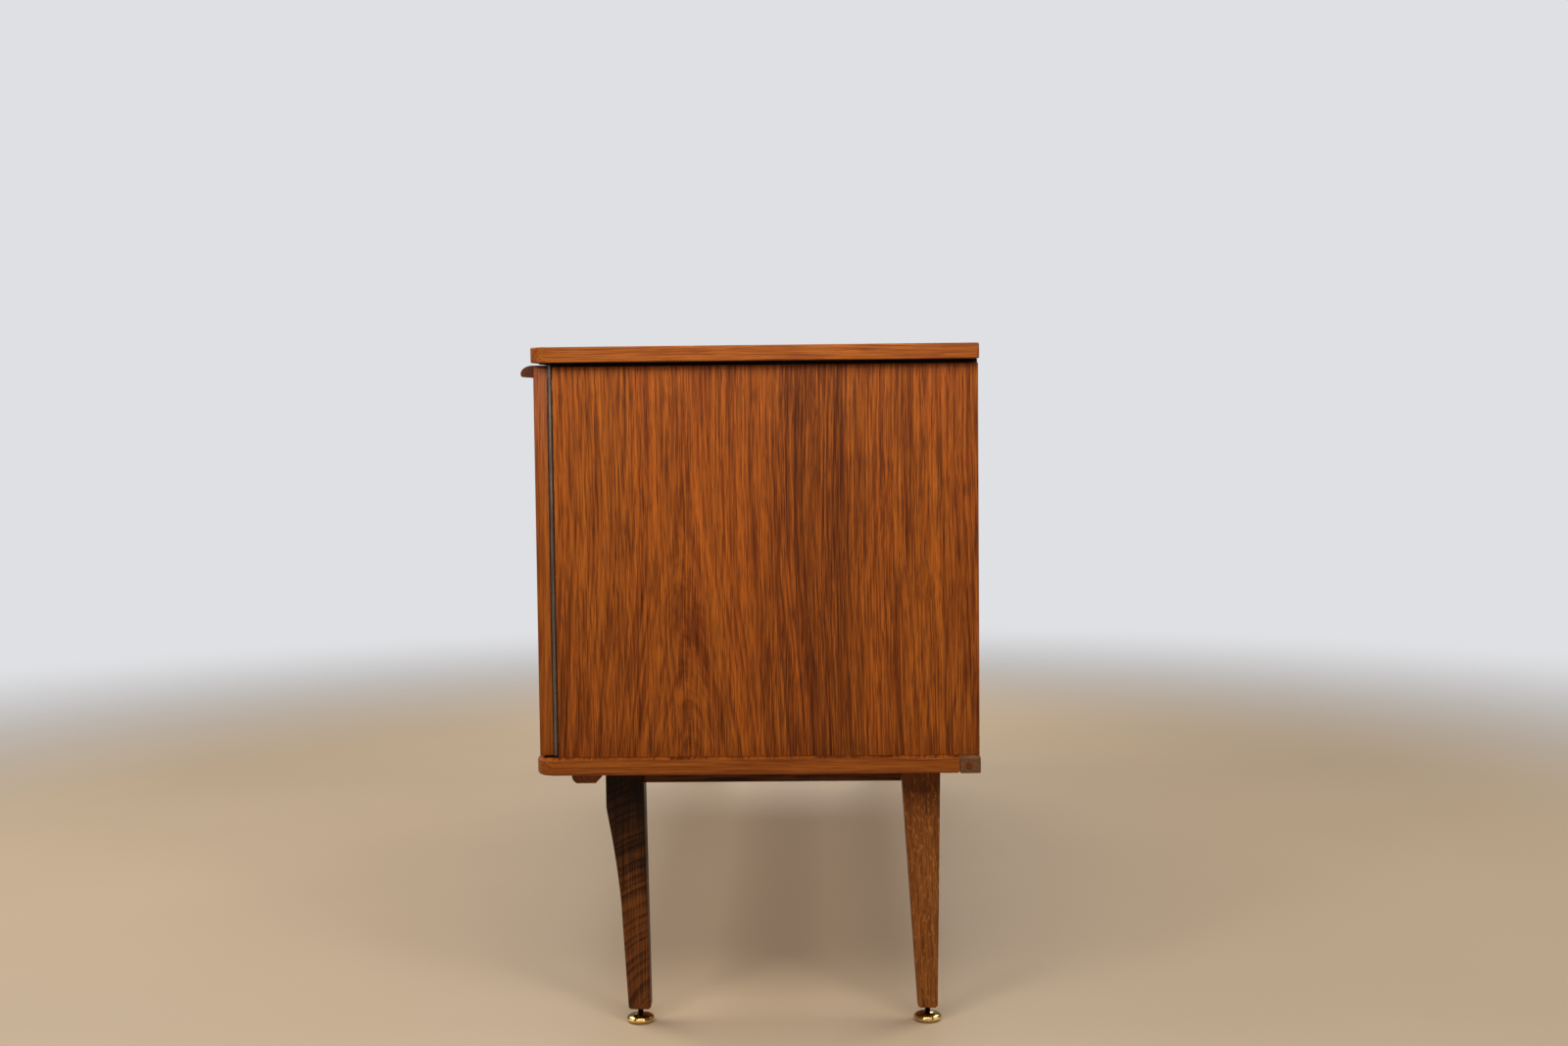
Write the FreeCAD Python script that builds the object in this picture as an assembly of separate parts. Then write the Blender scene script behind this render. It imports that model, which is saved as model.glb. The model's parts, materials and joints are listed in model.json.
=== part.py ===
import FreeCAD, Part
import os

# Teak sideboard buffet on four tapered legs, drawn in millimetres with +Z up.
# The origin is on the floor, at the middle of the whole object's outline in plan.
# +X runs along the length, to the right of a person who faces the doors, and the fronts face -Y.
# Two cupboards with hinged doors stand at the ends, and three drawers between them.

# ---- Overall sizes ------------------------------------------------------------------------
LENGTH = 1520.0               # top board and base board, end to end
TOP_DEPTH = 462.6             # top board, front edge to rear edge
HEIGHT = 721.0                # floor to the top surface
BASE_UNDERSIDE = 276.0        # floor to the underside of the base board
LEG_UNDERSIDE = 16.0          # floor to the foot of a leg, where the levelling foot shows

# ---- Boards -------------------------------------------------------------------------------
TOP_THICKNESS = 16.0
BASE_THICKNESS = 16.5
BOARD_NOSE = 2.6              # top and base boards in front of the doors' faces
PANEL_THICKNESS = 16.0        # side panels, partitions and the inner top
SHELF_THICKNESS = 14.0
FRONT_THICKNESS = 14.0        # doors and drawer fronts
BACK_THICKNESS = 4.0
CORNER_RADIUS = 20.0          # front corners of the top and the base, in plan
TOP_ARRIS = 1.5               # rounding along the top board's edges
BASE_ARRIS = 4.0              # rounding along the base board's lower edge
FRONT_ARRIS = 1.2             # rounding round the face of a door or a drawer front
END_OVERHANG = 16.0           # top and base beyond the side panels' outer faces
SHADOW_GAP = 4.0              # recess between the side panels and the top board
SPACER_INSET = 8.0            # side panels' outer faces to the end spacers
SPACER_SETBACK = 1.0          # panels' front edges to the front spacer
SPACER_REAR_INSET = 0.4       # rear edge of the top to the rear ends of the end spacers
SPACER_WIDTH = 40.0
DUST_LIP_THICKNESS = 1.6      # lip of the front spacer that reaches forward above the fronts
DUST_LIP_SETBACK = 6.0        # fronts' faces to the lip's front edge
DUST_LIP_INSET = 2.0          # door's outer edge to the end of the lip, which clears the hinge pin
FASTENER_INSET = 40.0         # end of a board or rail to the nearest dowel or screw
BACK_INSET = 6.0              # rear edge of the top to the back panel's rear face
BACK_GROOVE = 7.0             # depth of the side panels' groove for the back panel
GROOVE_CLEARANCE = 0.2        # a thin panel in its groove, on each side
LIPPING_DEPTH = 21.4          # solid rear lipping of the base board
PLUG_RADIUS = 4.2
PLUG_INSET = 12.2             # rear edge of the base to the middle of a plug
PLUG_DEPTH = 6.0

# ---- Doors, drawer fronts and their lip handles --------------------------------------------
FRONT_GAP_TOP = 2.4           # top of the fronts to the underside of the top board
FRONT_GAP_BOTTOM = 2.5        # base board to the bottom of the fronts
FRONT_GAP = 3.0               # between one front and the next
FRONT_EDGE_INSET = 0.3        # door's outer edge inside the side panel's outer face
HANDLE_REACH = 13.0           # lip handle in front of the door's face
HANDLE_HEIGHT = 12.9
HANDLE_DROP = 8.5             # top of the handle to the tip of its nose
HANDLE_RISE = 0.9             # the underside rises this much towards the nose
HANDLE_NOSE = 2.2             # flat setback of the underside's front corner from the nose

# ---- Piano hinges --------------------------------------------------------------------------
BARREL_RADIUS = 2.0
PIN_RADIUS = 0.9
PIN_CLEARANCE = 0.05          # hinge pin in the door leaf's knuckles
LEAF_THICKNESS = 0.8
LEAF_WIDTH = 15.0
LEAF_BITE = 0.05              # a knuckle's overlap with its own leaf
LEAF_CLEARANCE = 0.4          # leaf's edge to the other leaf's knuckles
KNUCKLES = 31
KNUCKLE_GAP = 0.3
PIN_PROUD = 1.2               # pin above the top knuckle
HINGE_SCREWS = 6

# ---- Inside of the cupboards ---------------------------------------------------------------
SHELF_HEIGHT = 190.0          # base board to the underside of a shelf
SHELF_SETBACK = 30.0          # panels' front edge to the shelf's front edge
SHELF_CLEARANCE = 1.0         # shelf to the panels beside it and behind it
SHELF_PIN_RADIUS = 2.5
SHELF_PIN_HOLD = 8.0          # length of a shelf pin inside the panel
SHELF_PIN_REACH = 7.0         # length of a shelf pin under the shelf
SHELF_PIN_SETBACK = 45.0      # shelf pin to the shelf's front or rear edge
CATCH_WIDTH = 40.0
CATCH_DEPTH = 18.0
CATCH_HEIGHT = 12.0
CATCH_GAP = 0.2               # magnet to its plate when the door is shut
CATCH_PLATE_THICKNESS = 0.8
CATCH_FROM_PARTITION = 12.0

# ---- Drawers -------------------------------------------------------------------------------
DRAWERS = 3
DRAWER_SIDE = 12.0
DRAWER_BACK = 10.0
DRAWER_BOTTOM = 4.0
DRAWER_REAR_GAP = 30.0        # back panel to the rear of a drawer box
DRAWER_BOX_LIFT = 8.0         # bottom of the front to the bottom of the box
DRAWER_BOX_DROP = 26.0        # top of the front to the top of the box
DRAWER_BOTTOM_LIFT = 8.0      # bottom of the box to its bottom panel
DRAWER_BOTTOM_HOLD = 5.0      # the bottom panel's depth in its grooves
DRAWER_CLEARANCE = 1.2        # drawer side to the partition
RUNNER_REACH = 7.4            # runner in front of the partition
RUNNER_HEIGHT = 14.0
RUNNER_CLEARANCE = 0.4        # runner in its groove, above and below
RUNNER_END_CLEARANCE = 0.6    # runner to the bottom of its groove
RUNNER_SETBACK = 10.0         # panels' front edge to the front of a runner

# ---- Legs, rails and feet ------------------------------------------------------------------
LEG_END_INSET = 34.0          # end of the base board to the outer face of a leg
LEG_WIDTH_TOP = 36.0          # along X
LEG_WIDTH_BOTTOM = 24.0
FRONT_LEG_SETBACK = 68.9      # front edge of the base to the front of a front leg
FRONT_LEG_DEPTH_TOP = 40.0    # along Y
FRONT_LEG_DEPTH_BOTTOM = 23.6
FRONT_LEG_LEAN = 3.7          # its rear edge leans back by this much at the foot
FRONT_LEG_SHOULDER = 42.0     # base board to the kink in the front leg
FRONT_LEG_CURVE = 100.0       # height of the hollow curve below that kink
FRONT_LEG_CURVE_IN = 13.9     # the curve's foot stands back this far from the kink
FRONT_LEG_HOLLOW = 1.3        # how far the curve is hollowed behind its own chord
REAR_LEG_SETBACK = 40.0       # rear edge of the base to the rear of a rear leg
REAR_LEG_DEPTH_TOP = 41.2
REAR_LEG_DEPTH_BOTTOM = 21.0
REAR_LEG_LEAN = 3.7           # its rear edge leans forward by this much at the foot
LEG_ARRIS = 2.5
LEG_FOOT_BEVEL = 0.8 * LEG_ARRIS    # bevel round the underside, which stays inside the arris
END_RAIL_DEPTH = 14.5         # height of the cross rail between the two legs of an end
END_RAIL_WIDTH = 20.0
END_RAIL_INSET = 4.0          # leg's outer face to the rail's outer face
UNDER_RAIL_SETBACK = 34.9     # front edge of the base to the front under-rail
UNDER_RAIL_WIDTH = 31.8
UNDER_RAIL_DEPTH = 11.4
UNDER_RAIL_FLAT_START = 6.5   # front of the rail to the front of its flat underside
UNDER_RAIL_FLAT = 18.7
UNDER_RAIL_CHEEK = 2.5        # upright part of the rail's two faces, under the base
UNDER_RAIL_END_INSET = 20.0
UNDER_RAIL_BEVEL = 7.0        # height of the flat bevel along the rail's rear
FOOT_RADIUS = 15.0
FOOT_CONTACT_RADIUS = 10.0    # flat that rests on the floor
FOOT_RIM_HEIGHT = 4.0         # floor to the lower edge of the foot's thin rim
FOOT_RIM = 0.8
FOOT_DOME = 4.2               # height of the dome above the rim
STUD_RADIUS = 3.0
STUD_CLEARANCE = 0.05
STUD_LENGTH = 22.0            # length of the stud inside the leg
STUD_POINT = 1.0
SOCKET_RADIUS = 5.0
SOCKET_LENGTH = 26.0

# ---- Fasteners: head radius, head depth, shank radius --------------------------------------
FRAME_SCREW = (5.0, 3.0, 2.5)
RAIL_SCREW = (4.0, 2.4, 2.0)
BACK_SCREW = (3.5, 1.8, 1.5)
LEAF_SCREW = (2.6, 1.5, 1.2)
FRAME_SCREW_HOLD = 30.0       # length of a screw inside the piece that it holds
RAIL_SCREW_HOLD = 8.0
TOP_SCREW_HOLD = 10.0
BACK_SCREW_HOLD = 14.0
LEAF_SCREW_HOLD = 10.0
DOWEL_RADIUS = 4.0
DOWEL_HOLD = 11.0             # half a dowel's length
SLOT_WIDTH = 0.9
SLOT_DEPTH = 0.9

# ---- Places worked out from the sizes above ------------------------------------------------
X_END = LENGTH / 2
X_SIDE = X_END - END_OVERHANG
X_SIDE_INNER = X_SIDE - PANEL_THICKNESS
X_FRONTS = X_SIDE - FRONT_EDGE_INSET
FRONT_WIDTH = (2 * X_FRONTS - 2 * FRONT_GAP) / 3
X_DRAWER_FRONT = FRONT_WIDTH / 2
X_DOOR_INNER = X_DRAWER_FRONT + FRONT_GAP
X_PARTITION = X_DRAWER_FRONT + FRONT_GAP / 2 - PANEL_THICKNESS / 2
X_PARTITION_OUTER = X_PARTITION + PANEL_THICKNESS

LIP_REACH = HANDLE_REACH - BOARD_NOSE
Y_BOARD_FRONT = LIP_REACH - (TOP_DEPTH + LIP_REACH) / 2
Y_FRONT = Y_BOARD_FRONT + BOARD_NOSE
Y_REAR = Y_BOARD_FRONT + TOP_DEPTH
Y_FRONT_BACK = Y_FRONT + FRONT_THICKNESS
Y_PANEL = Y_FRONT_BACK + 2 * (BARREL_RADIUS + LEAF_THICKNESS - LEAF_BITE)
Y_HINGE = (Y_FRONT_BACK + Y_PANEL) / 2
Y_BACK_REAR = Y_REAR - BACK_INSET
Y_BACK_FRONT = Y_BACK_REAR - BACK_THICKNESS
Y_LIPPING = Y_REAR - LIPPING_DEPTH

Z_TOP_UNDERSIDE = HEIGHT - TOP_THICKNESS
Z_PANEL_TOP = Z_TOP_UNDERSIDE - SHADOW_GAP
Z_INNER_TOP = Z_PANEL_TOP - PANEL_THICKNESS
Z_BASE = BASE_UNDERSIDE + BASE_THICKNESS
Z_FRONTS = Z_BASE + FRONT_GAP_BOTTOM
Z_FRONTS_TOP = Z_TOP_UNDERSIDE - FRONT_GAP_TOP
DRAWER_FRONT_HEIGHT = (Z_FRONTS_TOP - Z_FRONTS - (DRAWERS - 1) * FRONT_GAP) / DRAWERS
DRAWER_BOX_HEIGHT = DRAWER_FRONT_HEIGHT - DRAWER_BOX_LIFT - DRAWER_BOX_DROP
Y_BOX_REAR = Y_BACK_FRONT - DRAWER_REAR_GAP
Z_SHELF = Z_BASE + SHELF_HEIGHT

X_LEG = X_END - LEG_END_INSET
X_LEG_MIDDLE = X_LEG - LEG_WIDTH_TOP / 2
Y_FRONT_LEG = Y_BOARD_FRONT + FRONT_LEG_SETBACK
Y_REAR_LEG = Y_REAR - REAR_LEG_SETBACK


# ---- Small helpers -------------------------------------------------------------------------
def vec(x, y, z):
    return FreeCAD.Vector(x, y, z)


def block(x0, x1, y0, y1, z0, z1):
    """Rectangular piece between three pairs of places."""
    return Part.makeBox(x1 - x0, y1 - y0, z1 - z0, vec(x0, y0, z0))


def mirrored(shape):
    """The same piece at the other end of the sideboard."""
    return shape.mirror(vec(0, 0, 0), vec(1, 0, 0))


def pair(shape):
    return [shape, mirrored(shape)]


def cut_all(shape, tools):
    """The piece with every tool cut out of it."""
    return shape.cut(Part.makeCompound(tools)) if tools else shape


def edges_where(shape, test):
    """Edges whose end points all pass the test."""
    return [e for e in shape.Edges if all(test(v.Point) for v in e.Vertexes)]


def profile_along_x(x0, x1, wire):
    """A closed outline in the YZ plane, carried along X."""
    face = Part.Face(wire)
    face.translate(vec(x0, 0, 0))
    return face.extrude(vec(x1 - x0, 0, 0))


def quarter_round(start, corner, end):
    """Quarter of an ellipse from start to end, tangent there to the lines that meet in the corner."""
    pull = 0.5523
    curve = Part.BezierCurve()
    curve.setPoles([start, start + (corner - start) * pull, end + (corner - end) * pull, end])
    return curve.toShape()


def straight(start, end):
    return Part.LineSegment(start, end).toShape()


def outline_edges(points):
    """Straight edges through points of radius and height, in the XZ plane."""
    corners = [vec(r, 0, z) for r, z in points]
    return [straight(a, b) for a, b in zip(corners, corners[1:])]


def turned(edges, x=0, y=0):
    """A solid turned about the upright line through x, y from a closed outline in the XZ plane."""
    solid = Part.Face(Part.Wire(edges)).revolve(vec(0, 0, 0), vec(0, 0, 1), 360)
    solid.translate(vec(x, y, 0))
    return solid


def spread(start, end, count):
    """Evenly spaced places from start to end, both included."""
    return [start + (end - start) * i / (count - 1) for i in range(count)]


def screw(sizes, length, place, direction, slotted=True):
    """Countersunk wood screw with its head flush at the place, pointing along the direction."""
    head_radius, head_depth, shank_radius = sizes
    body = turned(outline_edges([(0, 0), (head_radius, 0), (shank_radius, -head_depth),
                                 (shank_radius, -length + 2 * shank_radius), (0, -length), (0, 0)]))
    if slotted:
        half = SLOT_WIDTH / 2
        body = body.cut(block(-head_radius, head_radius, -half, half, -SLOT_DEPTH, 1))
    turn = FreeCAD.Rotation(vec(0, 0, -1), direction)
    body.Placement = FreeCAD.Placement(place, turn)
    return body


def screw_set(sizes, length, places, direction):
    """The screws of one kind, and the holes that they need."""
    screws = [screw(sizes, length, p, direction) for p in places]
    holes = [screw(sizes, length, p, direction, slotted=False) for p in places]
    return screws, holes


def dowel(place, direction):
    start = place - direction * DOWEL_HOLD
    return Part.makeCylinder(DOWEL_RADIUS, 2 * DOWEL_HOLD, start, direction)


def board_plan(y_rear, z0, z1):
    """A board of the full length with rounded front corners, from its front edge to y_rear."""
    board = block(-X_END, X_END, Y_BOARD_FRONT, y_rear, z0, z1)
    corners = [e for e in board.Edges if len({round(v.Z) for v in e.Vertexes}) == 2
               and all(v.Y < Y_BOARD_FRONT + 1 for v in e.Vertexes)]
    return board.makeFillet(CORNER_RADIUS, corners)


# ---- Fasteners that several pieces share ---------------------------------------------------
UP, DOWN = vec(0, 0, 1), vec(0, 0, -1)
LEFT, BACKWARD, FORWARD = vec(-1, 0, 0), vec(0, 1, 0), vec(0, -1, 0)


def dowels_in_carcass():
    """Dowels at the board corners: panels on the base, and the inner top on the panels."""
    rows = spread(Y_PANEL + FASTENER_INSET, Y_BACK_FRONT - FASTENER_INSET, 3)
    middles = [X_SIDE - PANEL_THICKNESS / 2, X_PARTITION + PANEL_THICKNESS / 2]
    found = []
    for y in rows:
        for x in middles:
            found.append(dowel(vec(x, y, Z_BASE), UP))
        found.append(dowel(vec(middles[1], y, Z_INNER_TOP), UP))
        found.append(dowel(vec(X_SIDE_INNER, y, Z_INNER_TOP + PANEL_THICKNESS / 2), LEFT))
    return found + [mirrored(d) for d in found]


def top_screw_places():
    xs = [-(X_SIDE_INNER + X_PARTITION) / 2, 0, (X_SIDE_INNER + X_PARTITION) / 2]
    first = Y_PANEL + SPACER_SETBACK + SPACER_WIDTH / 2
    last = Y_BACK_FRONT - SPACER_WIDTH / 2
    return [vec(x, y, Z_INNER_TOP) for x in xs for y in (first, last)]


def back_screw_places():
    z_top = Z_INNER_TOP + PANEL_THICKNESS / 2
    edge = X_SIDE_INNER - FASTENER_INSET
    places = [vec(x, Y_BACK_REAR, z_top) for x in spread(-edge, edge, 7)]
    middle = X_PARTITION + PANEL_THICKNESS / 2
    heights = spread(Z_BASE + FASTENER_INSET, Z_INNER_TOP - FASTENER_INSET, 3)
    return places + [vec(side * middle, Y_BACK_REAR, z) for side in (-1, 1) for z in heights]


def frame_screw_places():
    """Two screws down into each leg of the right-hand end."""
    middles = [Y_FRONT_LEG + FRONT_LEG_DEPTH_TOP / 2, Y_REAR_LEG - REAR_LEG_DEPTH_TOP / 2]
    offset = FRONT_LEG_DEPTH_TOP / 4
    return [vec(X_LEG_MIDDLE, y + s * offset, Z_BASE) for y in middles for s in (-1, 1)]


def end_rail_screw_places():
    """Two screws up through the right-hand end rail."""
    x = X_LEG - END_RAIL_INSET - END_RAIL_WIDTH / 2
    first = Y_FRONT_LEG + FRONT_LEG_DEPTH_TOP + FASTENER_INSET
    last = Y_REAR_LEG - REAR_LEG_DEPTH_TOP - FASTENER_INSET
    return [vec(x, y, BASE_UNDERSIDE - END_RAIL_DEPTH) for y in (first, last)]


def under_rail_screw_places():
    edge = X_END - UNDER_RAIL_END_INSET - 2 * FASTENER_INSET
    y = Y_BOARD_FRONT + UNDER_RAIL_SETBACK + UNDER_RAIL_FLAT_START + UNDER_RAIL_FLAT / 2
    return [vec(x, y, BASE_UNDERSIDE - UNDER_RAIL_DEPTH) for x in spread(-edge, edge, 4)]


def leaf_screw_places(y):
    """Screws down the right-hand hinge leaf whose face is at y."""
    x = X_SIDE - (LEAF_WIDTH + BARREL_RADIUS + LEAF_CLEARANCE) / 2
    heights = spread(Z_FRONTS + LEAF_WIDTH, Z_FRONTS_TOP - LEAF_WIDTH, HINGE_SCREWS)
    return [vec(x, y, z) for z in heights]


# ---- Carcass -------------------------------------------------------------------------------
def top_board(holes):
    board = board_plan(Y_REAR, Z_TOP_UNDERSIDE, HEIGHT)
    rims = edges_where(board, lambda p: abs(p.z - HEIGHT) < 0.1 or abs(p.z - Z_TOP_UNDERSIDE) < 0.1)
    rims = [e for e in rims if abs(e.BoundBox.ZLength) < 0.1]
    return cut_all(board.makeFillet(TOP_ARRIS, rims), holes)


def base_board(holes):
    board = board_plan(Y_LIPPING, BASE_UNDERSIDE, Z_BASE)
    lower = edges_where(board, lambda p: abs(p.z - BASE_UNDERSIDE) < 0.1)
    lower = [e for e in lower if e.BoundBox.YMin < Y_LIPPING - 1]
    return cut_all(board.makeFillet(BASE_ARRIS, lower), holes)


def lipping_plug():
    """Short plug that closes the screw hole in the end of the rear lipping."""
    z = (BASE_UNDERSIDE + Z_BASE) / 2
    place = vec(X_END, Y_REAR - PLUG_INSET, z)
    return Part.makeCylinder(PLUG_RADIUS, PLUG_DEPTH, place, LEFT)


def base_rear_lipping(plugs):
    return cut_all(block(-X_END, X_END, Y_LIPPING, Y_REAR, BASE_UNDERSIDE, Z_BASE), plugs)


def spacer_strips(holes):
    """Black strips that hold the top board off the carcass and leave the shadow gap."""
    x = X_SIDE - SPACER_INSET
    y0 = Y_PANEL + SPACER_SETBACK
    y1 = y0 + SPACER_WIDTH
    z0, z1 = Z_PANEL_TOP, Z_TOP_UNDERSIDE
    ends = pair(block(x - SPACER_WIDTH, x, y1, Y_REAR - SPACER_REAR_INSET, z0, z1))
    inner = x - SPACER_WIDTH
    lip = X_FRONTS - DUST_LIP_INSET
    front = block(-x, x, y0, y1, z0, z1)
    front = front.fuse(block(-lip, lip, Y_FRONT + DUST_LIP_SETBACK, y0, z1 - DUST_LIP_THICKNESS, z1))
    rear = block(-inner, inner, Y_BACK_FRONT - SPACER_WIDTH, Y_BACK_FRONT, z0, z1)
    return ends + [cut_all(front, holes), cut_all(rear, holes)]


def inner_top(holes):
    board = block(-X_SIDE_INNER, X_SIDE_INNER, Y_PANEL, Y_BACK_FRONT, Z_INNER_TOP, Z_PANEL_TOP)
    return cut_all(board, holes)


def side_panel(holes):
    """Right-hand side panel, with its groove for the back panel."""
    panel = block(X_SIDE_INNER, X_SIDE, Y_PANEL, Y_REAR, Z_BASE, Z_PANEL_TOP)
    groove = block(X_SIDE_INNER - 1, X_SIDE_INNER + BACK_GROOVE + GROOVE_CLEARANCE,
                   Y_BACK_FRONT - GROOVE_CLEARANCE, Y_BACK_REAR + GROOVE_CLEARANCE,
                   Z_BASE, Z_PANEL_TOP)
    return cut_all(panel, [groove] + holes)


def partition(holes):
    panel = block(X_PARTITION, X_PARTITION_OUTER, Y_PANEL, Y_BACK_FRONT, Z_BASE, Z_INNER_TOP)
    return cut_all(panel, holes)


def back_panel(holes):
    x = X_SIDE_INNER + BACK_GROOVE
    return cut_all(block(-x, x, Y_BACK_FRONT, Y_BACK_REAR, Z_BASE, Z_PANEL_TOP), holes)


def shelf():
    """Right-hand shelf, loose on its four pins."""
    return block(X_PARTITION_OUTER + SHELF_CLEARANCE, X_SIDE_INNER - SHELF_CLEARANCE,
                 Y_PANEL + SHELF_SETBACK, Y_BACK_FRONT - SHELF_CLEARANCE,
                 Z_SHELF, Z_SHELF + SHELF_THICKNESS)


def shelf_pins_right():
    length = SHELF_PIN_HOLD + SHELF_PIN_REACH
    z = Z_SHELF - SHELF_PIN_RADIUS
    ys = (Y_PANEL + SHELF_SETBACK + SHELF_PIN_SETBACK, Y_BACK_FRONT - SHELF_PIN_SETBACK)
    starts = (X_PARTITION_OUTER + SHELF_PIN_REACH, X_SIDE_INNER + SHELF_PIN_HOLD)
    return [Part.makeCylinder(SHELF_PIN_RADIUS, length, vec(x, y, z), LEFT) for x in starts for y in ys]


def magnetic_catch():
    """Magnet block under the inner top, behind the right-hand door's free edge."""
    x0 = X_PARTITION_OUTER + CATCH_FROM_PARTITION
    y0 = Y_FRONT_BACK + CATCH_PLATE_THICKNESS + CATCH_GAP
    return block(x0, x0 + CATCH_WIDTH, y0, y0 + CATCH_DEPTH, Z_INNER_TOP - CATCH_HEIGHT, Z_INNER_TOP)


def runner_middle(drawer):
    """Height of a drawer's runners, and of its side grooves."""
    return drawer_bottom(drawer) + DRAWER_BOX_LIFT + DRAWER_BOX_HEIGHT / 2


def runner(drawer):
    """Right-hand hardwood runner of one drawer."""
    z = runner_middle(drawer)
    return block(X_PARTITION - RUNNER_REACH, X_PARTITION, Y_PANEL + RUNNER_SETBACK,
                 Y_BOX_REAR, z - RUNNER_HEIGHT / 2, z + RUNNER_HEIGHT / 2)


# ---- Legs, rails and feet ------------------------------------------------------------------
def leg_from_profile(edges):
    """An outline in YZ carried across the leg, then tapered towards the foot across X as well."""
    blank = profile_along_x(X_LEG - LEG_WIDTH_TOP, X_LEG, Part.Wire(edges))
    taper = (LEG_WIDTH_TOP - LEG_WIDTH_BOTTOM) / 2
    corners = [vec(X_LEG - LEG_WIDTH_TOP, Y_FRONT, BASE_UNDERSIDE), vec(X_LEG, Y_FRONT, BASE_UNDERSIDE),
               vec(X_LEG - taper, Y_FRONT, LEG_UNDERSIDE),
               vec(X_LEG - LEG_WIDTH_TOP + taper, Y_FRONT, LEG_UNDERSIDE)]
    across = Part.Face(Part.makePolygon(corners + corners[:1])).extrude(vec(0, TOP_DEPTH, 0))
    leg = blank.common(across)
    uprights = [e for e in leg.Edges if e.BoundBox.ZLength > LEG_WIDTH_TOP]
    leg = leg.makeFillet(LEG_ARRIS, uprights)
    sole = [e for e in leg.Edges if e.BoundBox.ZMax < LEG_UNDERSIDE + 0.01]
    return leg.makeChamfer(LEG_FOOT_BEVEL, sole)


def front_leg():
    """Straight shoulder, a kink, then a hollow curve that runs out into a straight foot."""
    y0 = Y_FRONT_LEG
    y_top = y0 + FRONT_LEG_DEPTH_TOP
    y_foot = y_top + FRONT_LEG_LEAN
    kink = vec(0, y0, BASE_UNDERSIDE - FRONT_LEG_SHOULDER)
    curve_end = kink + vec(0, FRONT_LEG_CURVE_IN, -FRONT_LEG_CURVE)
    chord = curve_end - kink
    hollow = vec(0, FRONT_LEG_CURVE, FRONT_LEG_CURVE_IN).normalize() * FRONT_LEG_HOLLOW
    middle = kink + chord * 0.5 + hollow
    foot = vec(0, y_foot - FRONT_LEG_DEPTH_BOTTOM, LEG_UNDERSIDE)
    heel = vec(0, y_foot, LEG_UNDERSIDE)
    top_front = vec(0, y0, BASE_UNDERSIDE)
    top_rear = vec(0, y_top, BASE_UNDERSIDE)
    return leg_from_profile([straight(top_front, kink), Part.Arc(kink, middle, curve_end).toShape(),
                             straight(curve_end, foot), straight(foot, heel),
                             straight(heel, top_rear), straight(top_rear, top_front)])


def rear_leg():
    """Plain straight taper, most of it on the front side."""
    y_foot = Y_REAR_LEG - REAR_LEG_LEAN
    corners = [vec(0, Y_REAR_LEG - REAR_LEG_DEPTH_TOP, BASE_UNDERSIDE), vec(0, Y_REAR_LEG, BASE_UNDERSIDE),
               vec(0, y_foot, LEG_UNDERSIDE), vec(0, y_foot - REAR_LEG_DEPTH_BOTTOM, LEG_UNDERSIDE)]
    return leg_from_profile(Part.makePolygon(corners + corners[:1]).Edges)


def foot_places():
    """Middle of each leg's foot at the right-hand end, front then rear."""
    front = Y_FRONT_LEG + FRONT_LEG_DEPTH_TOP + FRONT_LEG_LEAN - FRONT_LEG_DEPTH_BOTTOM / 2
    rear = Y_REAR_LEG - REAR_LEG_LEAN - REAR_LEG_DEPTH_BOTTOM / 2
    return [(X_LEG_MIDDLE, front), (X_LEG_MIDDLE, rear)]


def foot_socket(x, y):
    """Steel socket pressed flush into the foot of a leg, bored for the stud."""
    bore = STUD_RADIUS + STUD_CLEARANCE
    z0, z1 = LEG_UNDERSIDE, LEG_UNDERSIDE + SOCKET_LENGTH
    return turned(outline_edges([(bore, z0), (SOCKET_RADIUS, z0), (SOCKET_RADIUS, z1),
                                 (bore, z1), (bore, z0)]), x, y)


def socket_hole(x, y):
    return Part.makeCylinder(SOCKET_RADIUS, SOCKET_LENGTH, vec(x, y, LEG_UNDERSIDE), UP)


def levelling_foot(x, y):
    """Turned brass foot: rounded underside, thin rim, low dome, and a stud that goes up into the leg."""
    rim_top = FOOT_RIM_HEIGHT + FOOT_RIM
    dome_top = rim_top + FOOT_DOME
    stud_top = LEG_UNDERSIDE + STUD_LENGTH
    below = outline_edges([(0, 0), (FOOT_CONTACT_RADIUS, 0)])
    belly = quarter_round(vec(FOOT_CONTACT_RADIUS, 0, 0), vec(FOOT_RADIUS, 0, 0),
                          vec(FOOT_RADIUS, 0, FOOT_RIM_HEIGHT))
    rim = outline_edges([(FOOT_RADIUS, FOOT_RIM_HEIGHT), (FOOT_RADIUS, rim_top)])
    dome = quarter_round(vec(FOOT_RADIUS, 0, rim_top), vec(FOOT_RADIUS, 0, dome_top),
                         vec(STUD_RADIUS, 0, dome_top))
    stud = outline_edges([(STUD_RADIUS, dome_top), (STUD_RADIUS, stud_top - STUD_POINT),
                          (STUD_RADIUS - STUD_POINT, stud_top), (0, stud_top), (0, 0)])
    return turned(below + [belly] + rim + [dome] + stud, x, y)


def end_rail(legs, holes):
    """Cross rail under the base, shouldered between the two legs of the right-hand end."""
    x1 = X_LEG - END_RAIL_INSET
    y0 = Y_FRONT_LEG + FRONT_LEG_DEPTH_TOP
    y1 = Y_REAR_LEG - REAR_LEG_DEPTH_TOP
    rail = block(x1 - END_RAIL_WIDTH, x1, y0, y1, BASE_UNDERSIDE - END_RAIL_DEPTH, BASE_UNDERSIDE)
    return cut_all(rail, legs + holes)


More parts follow.
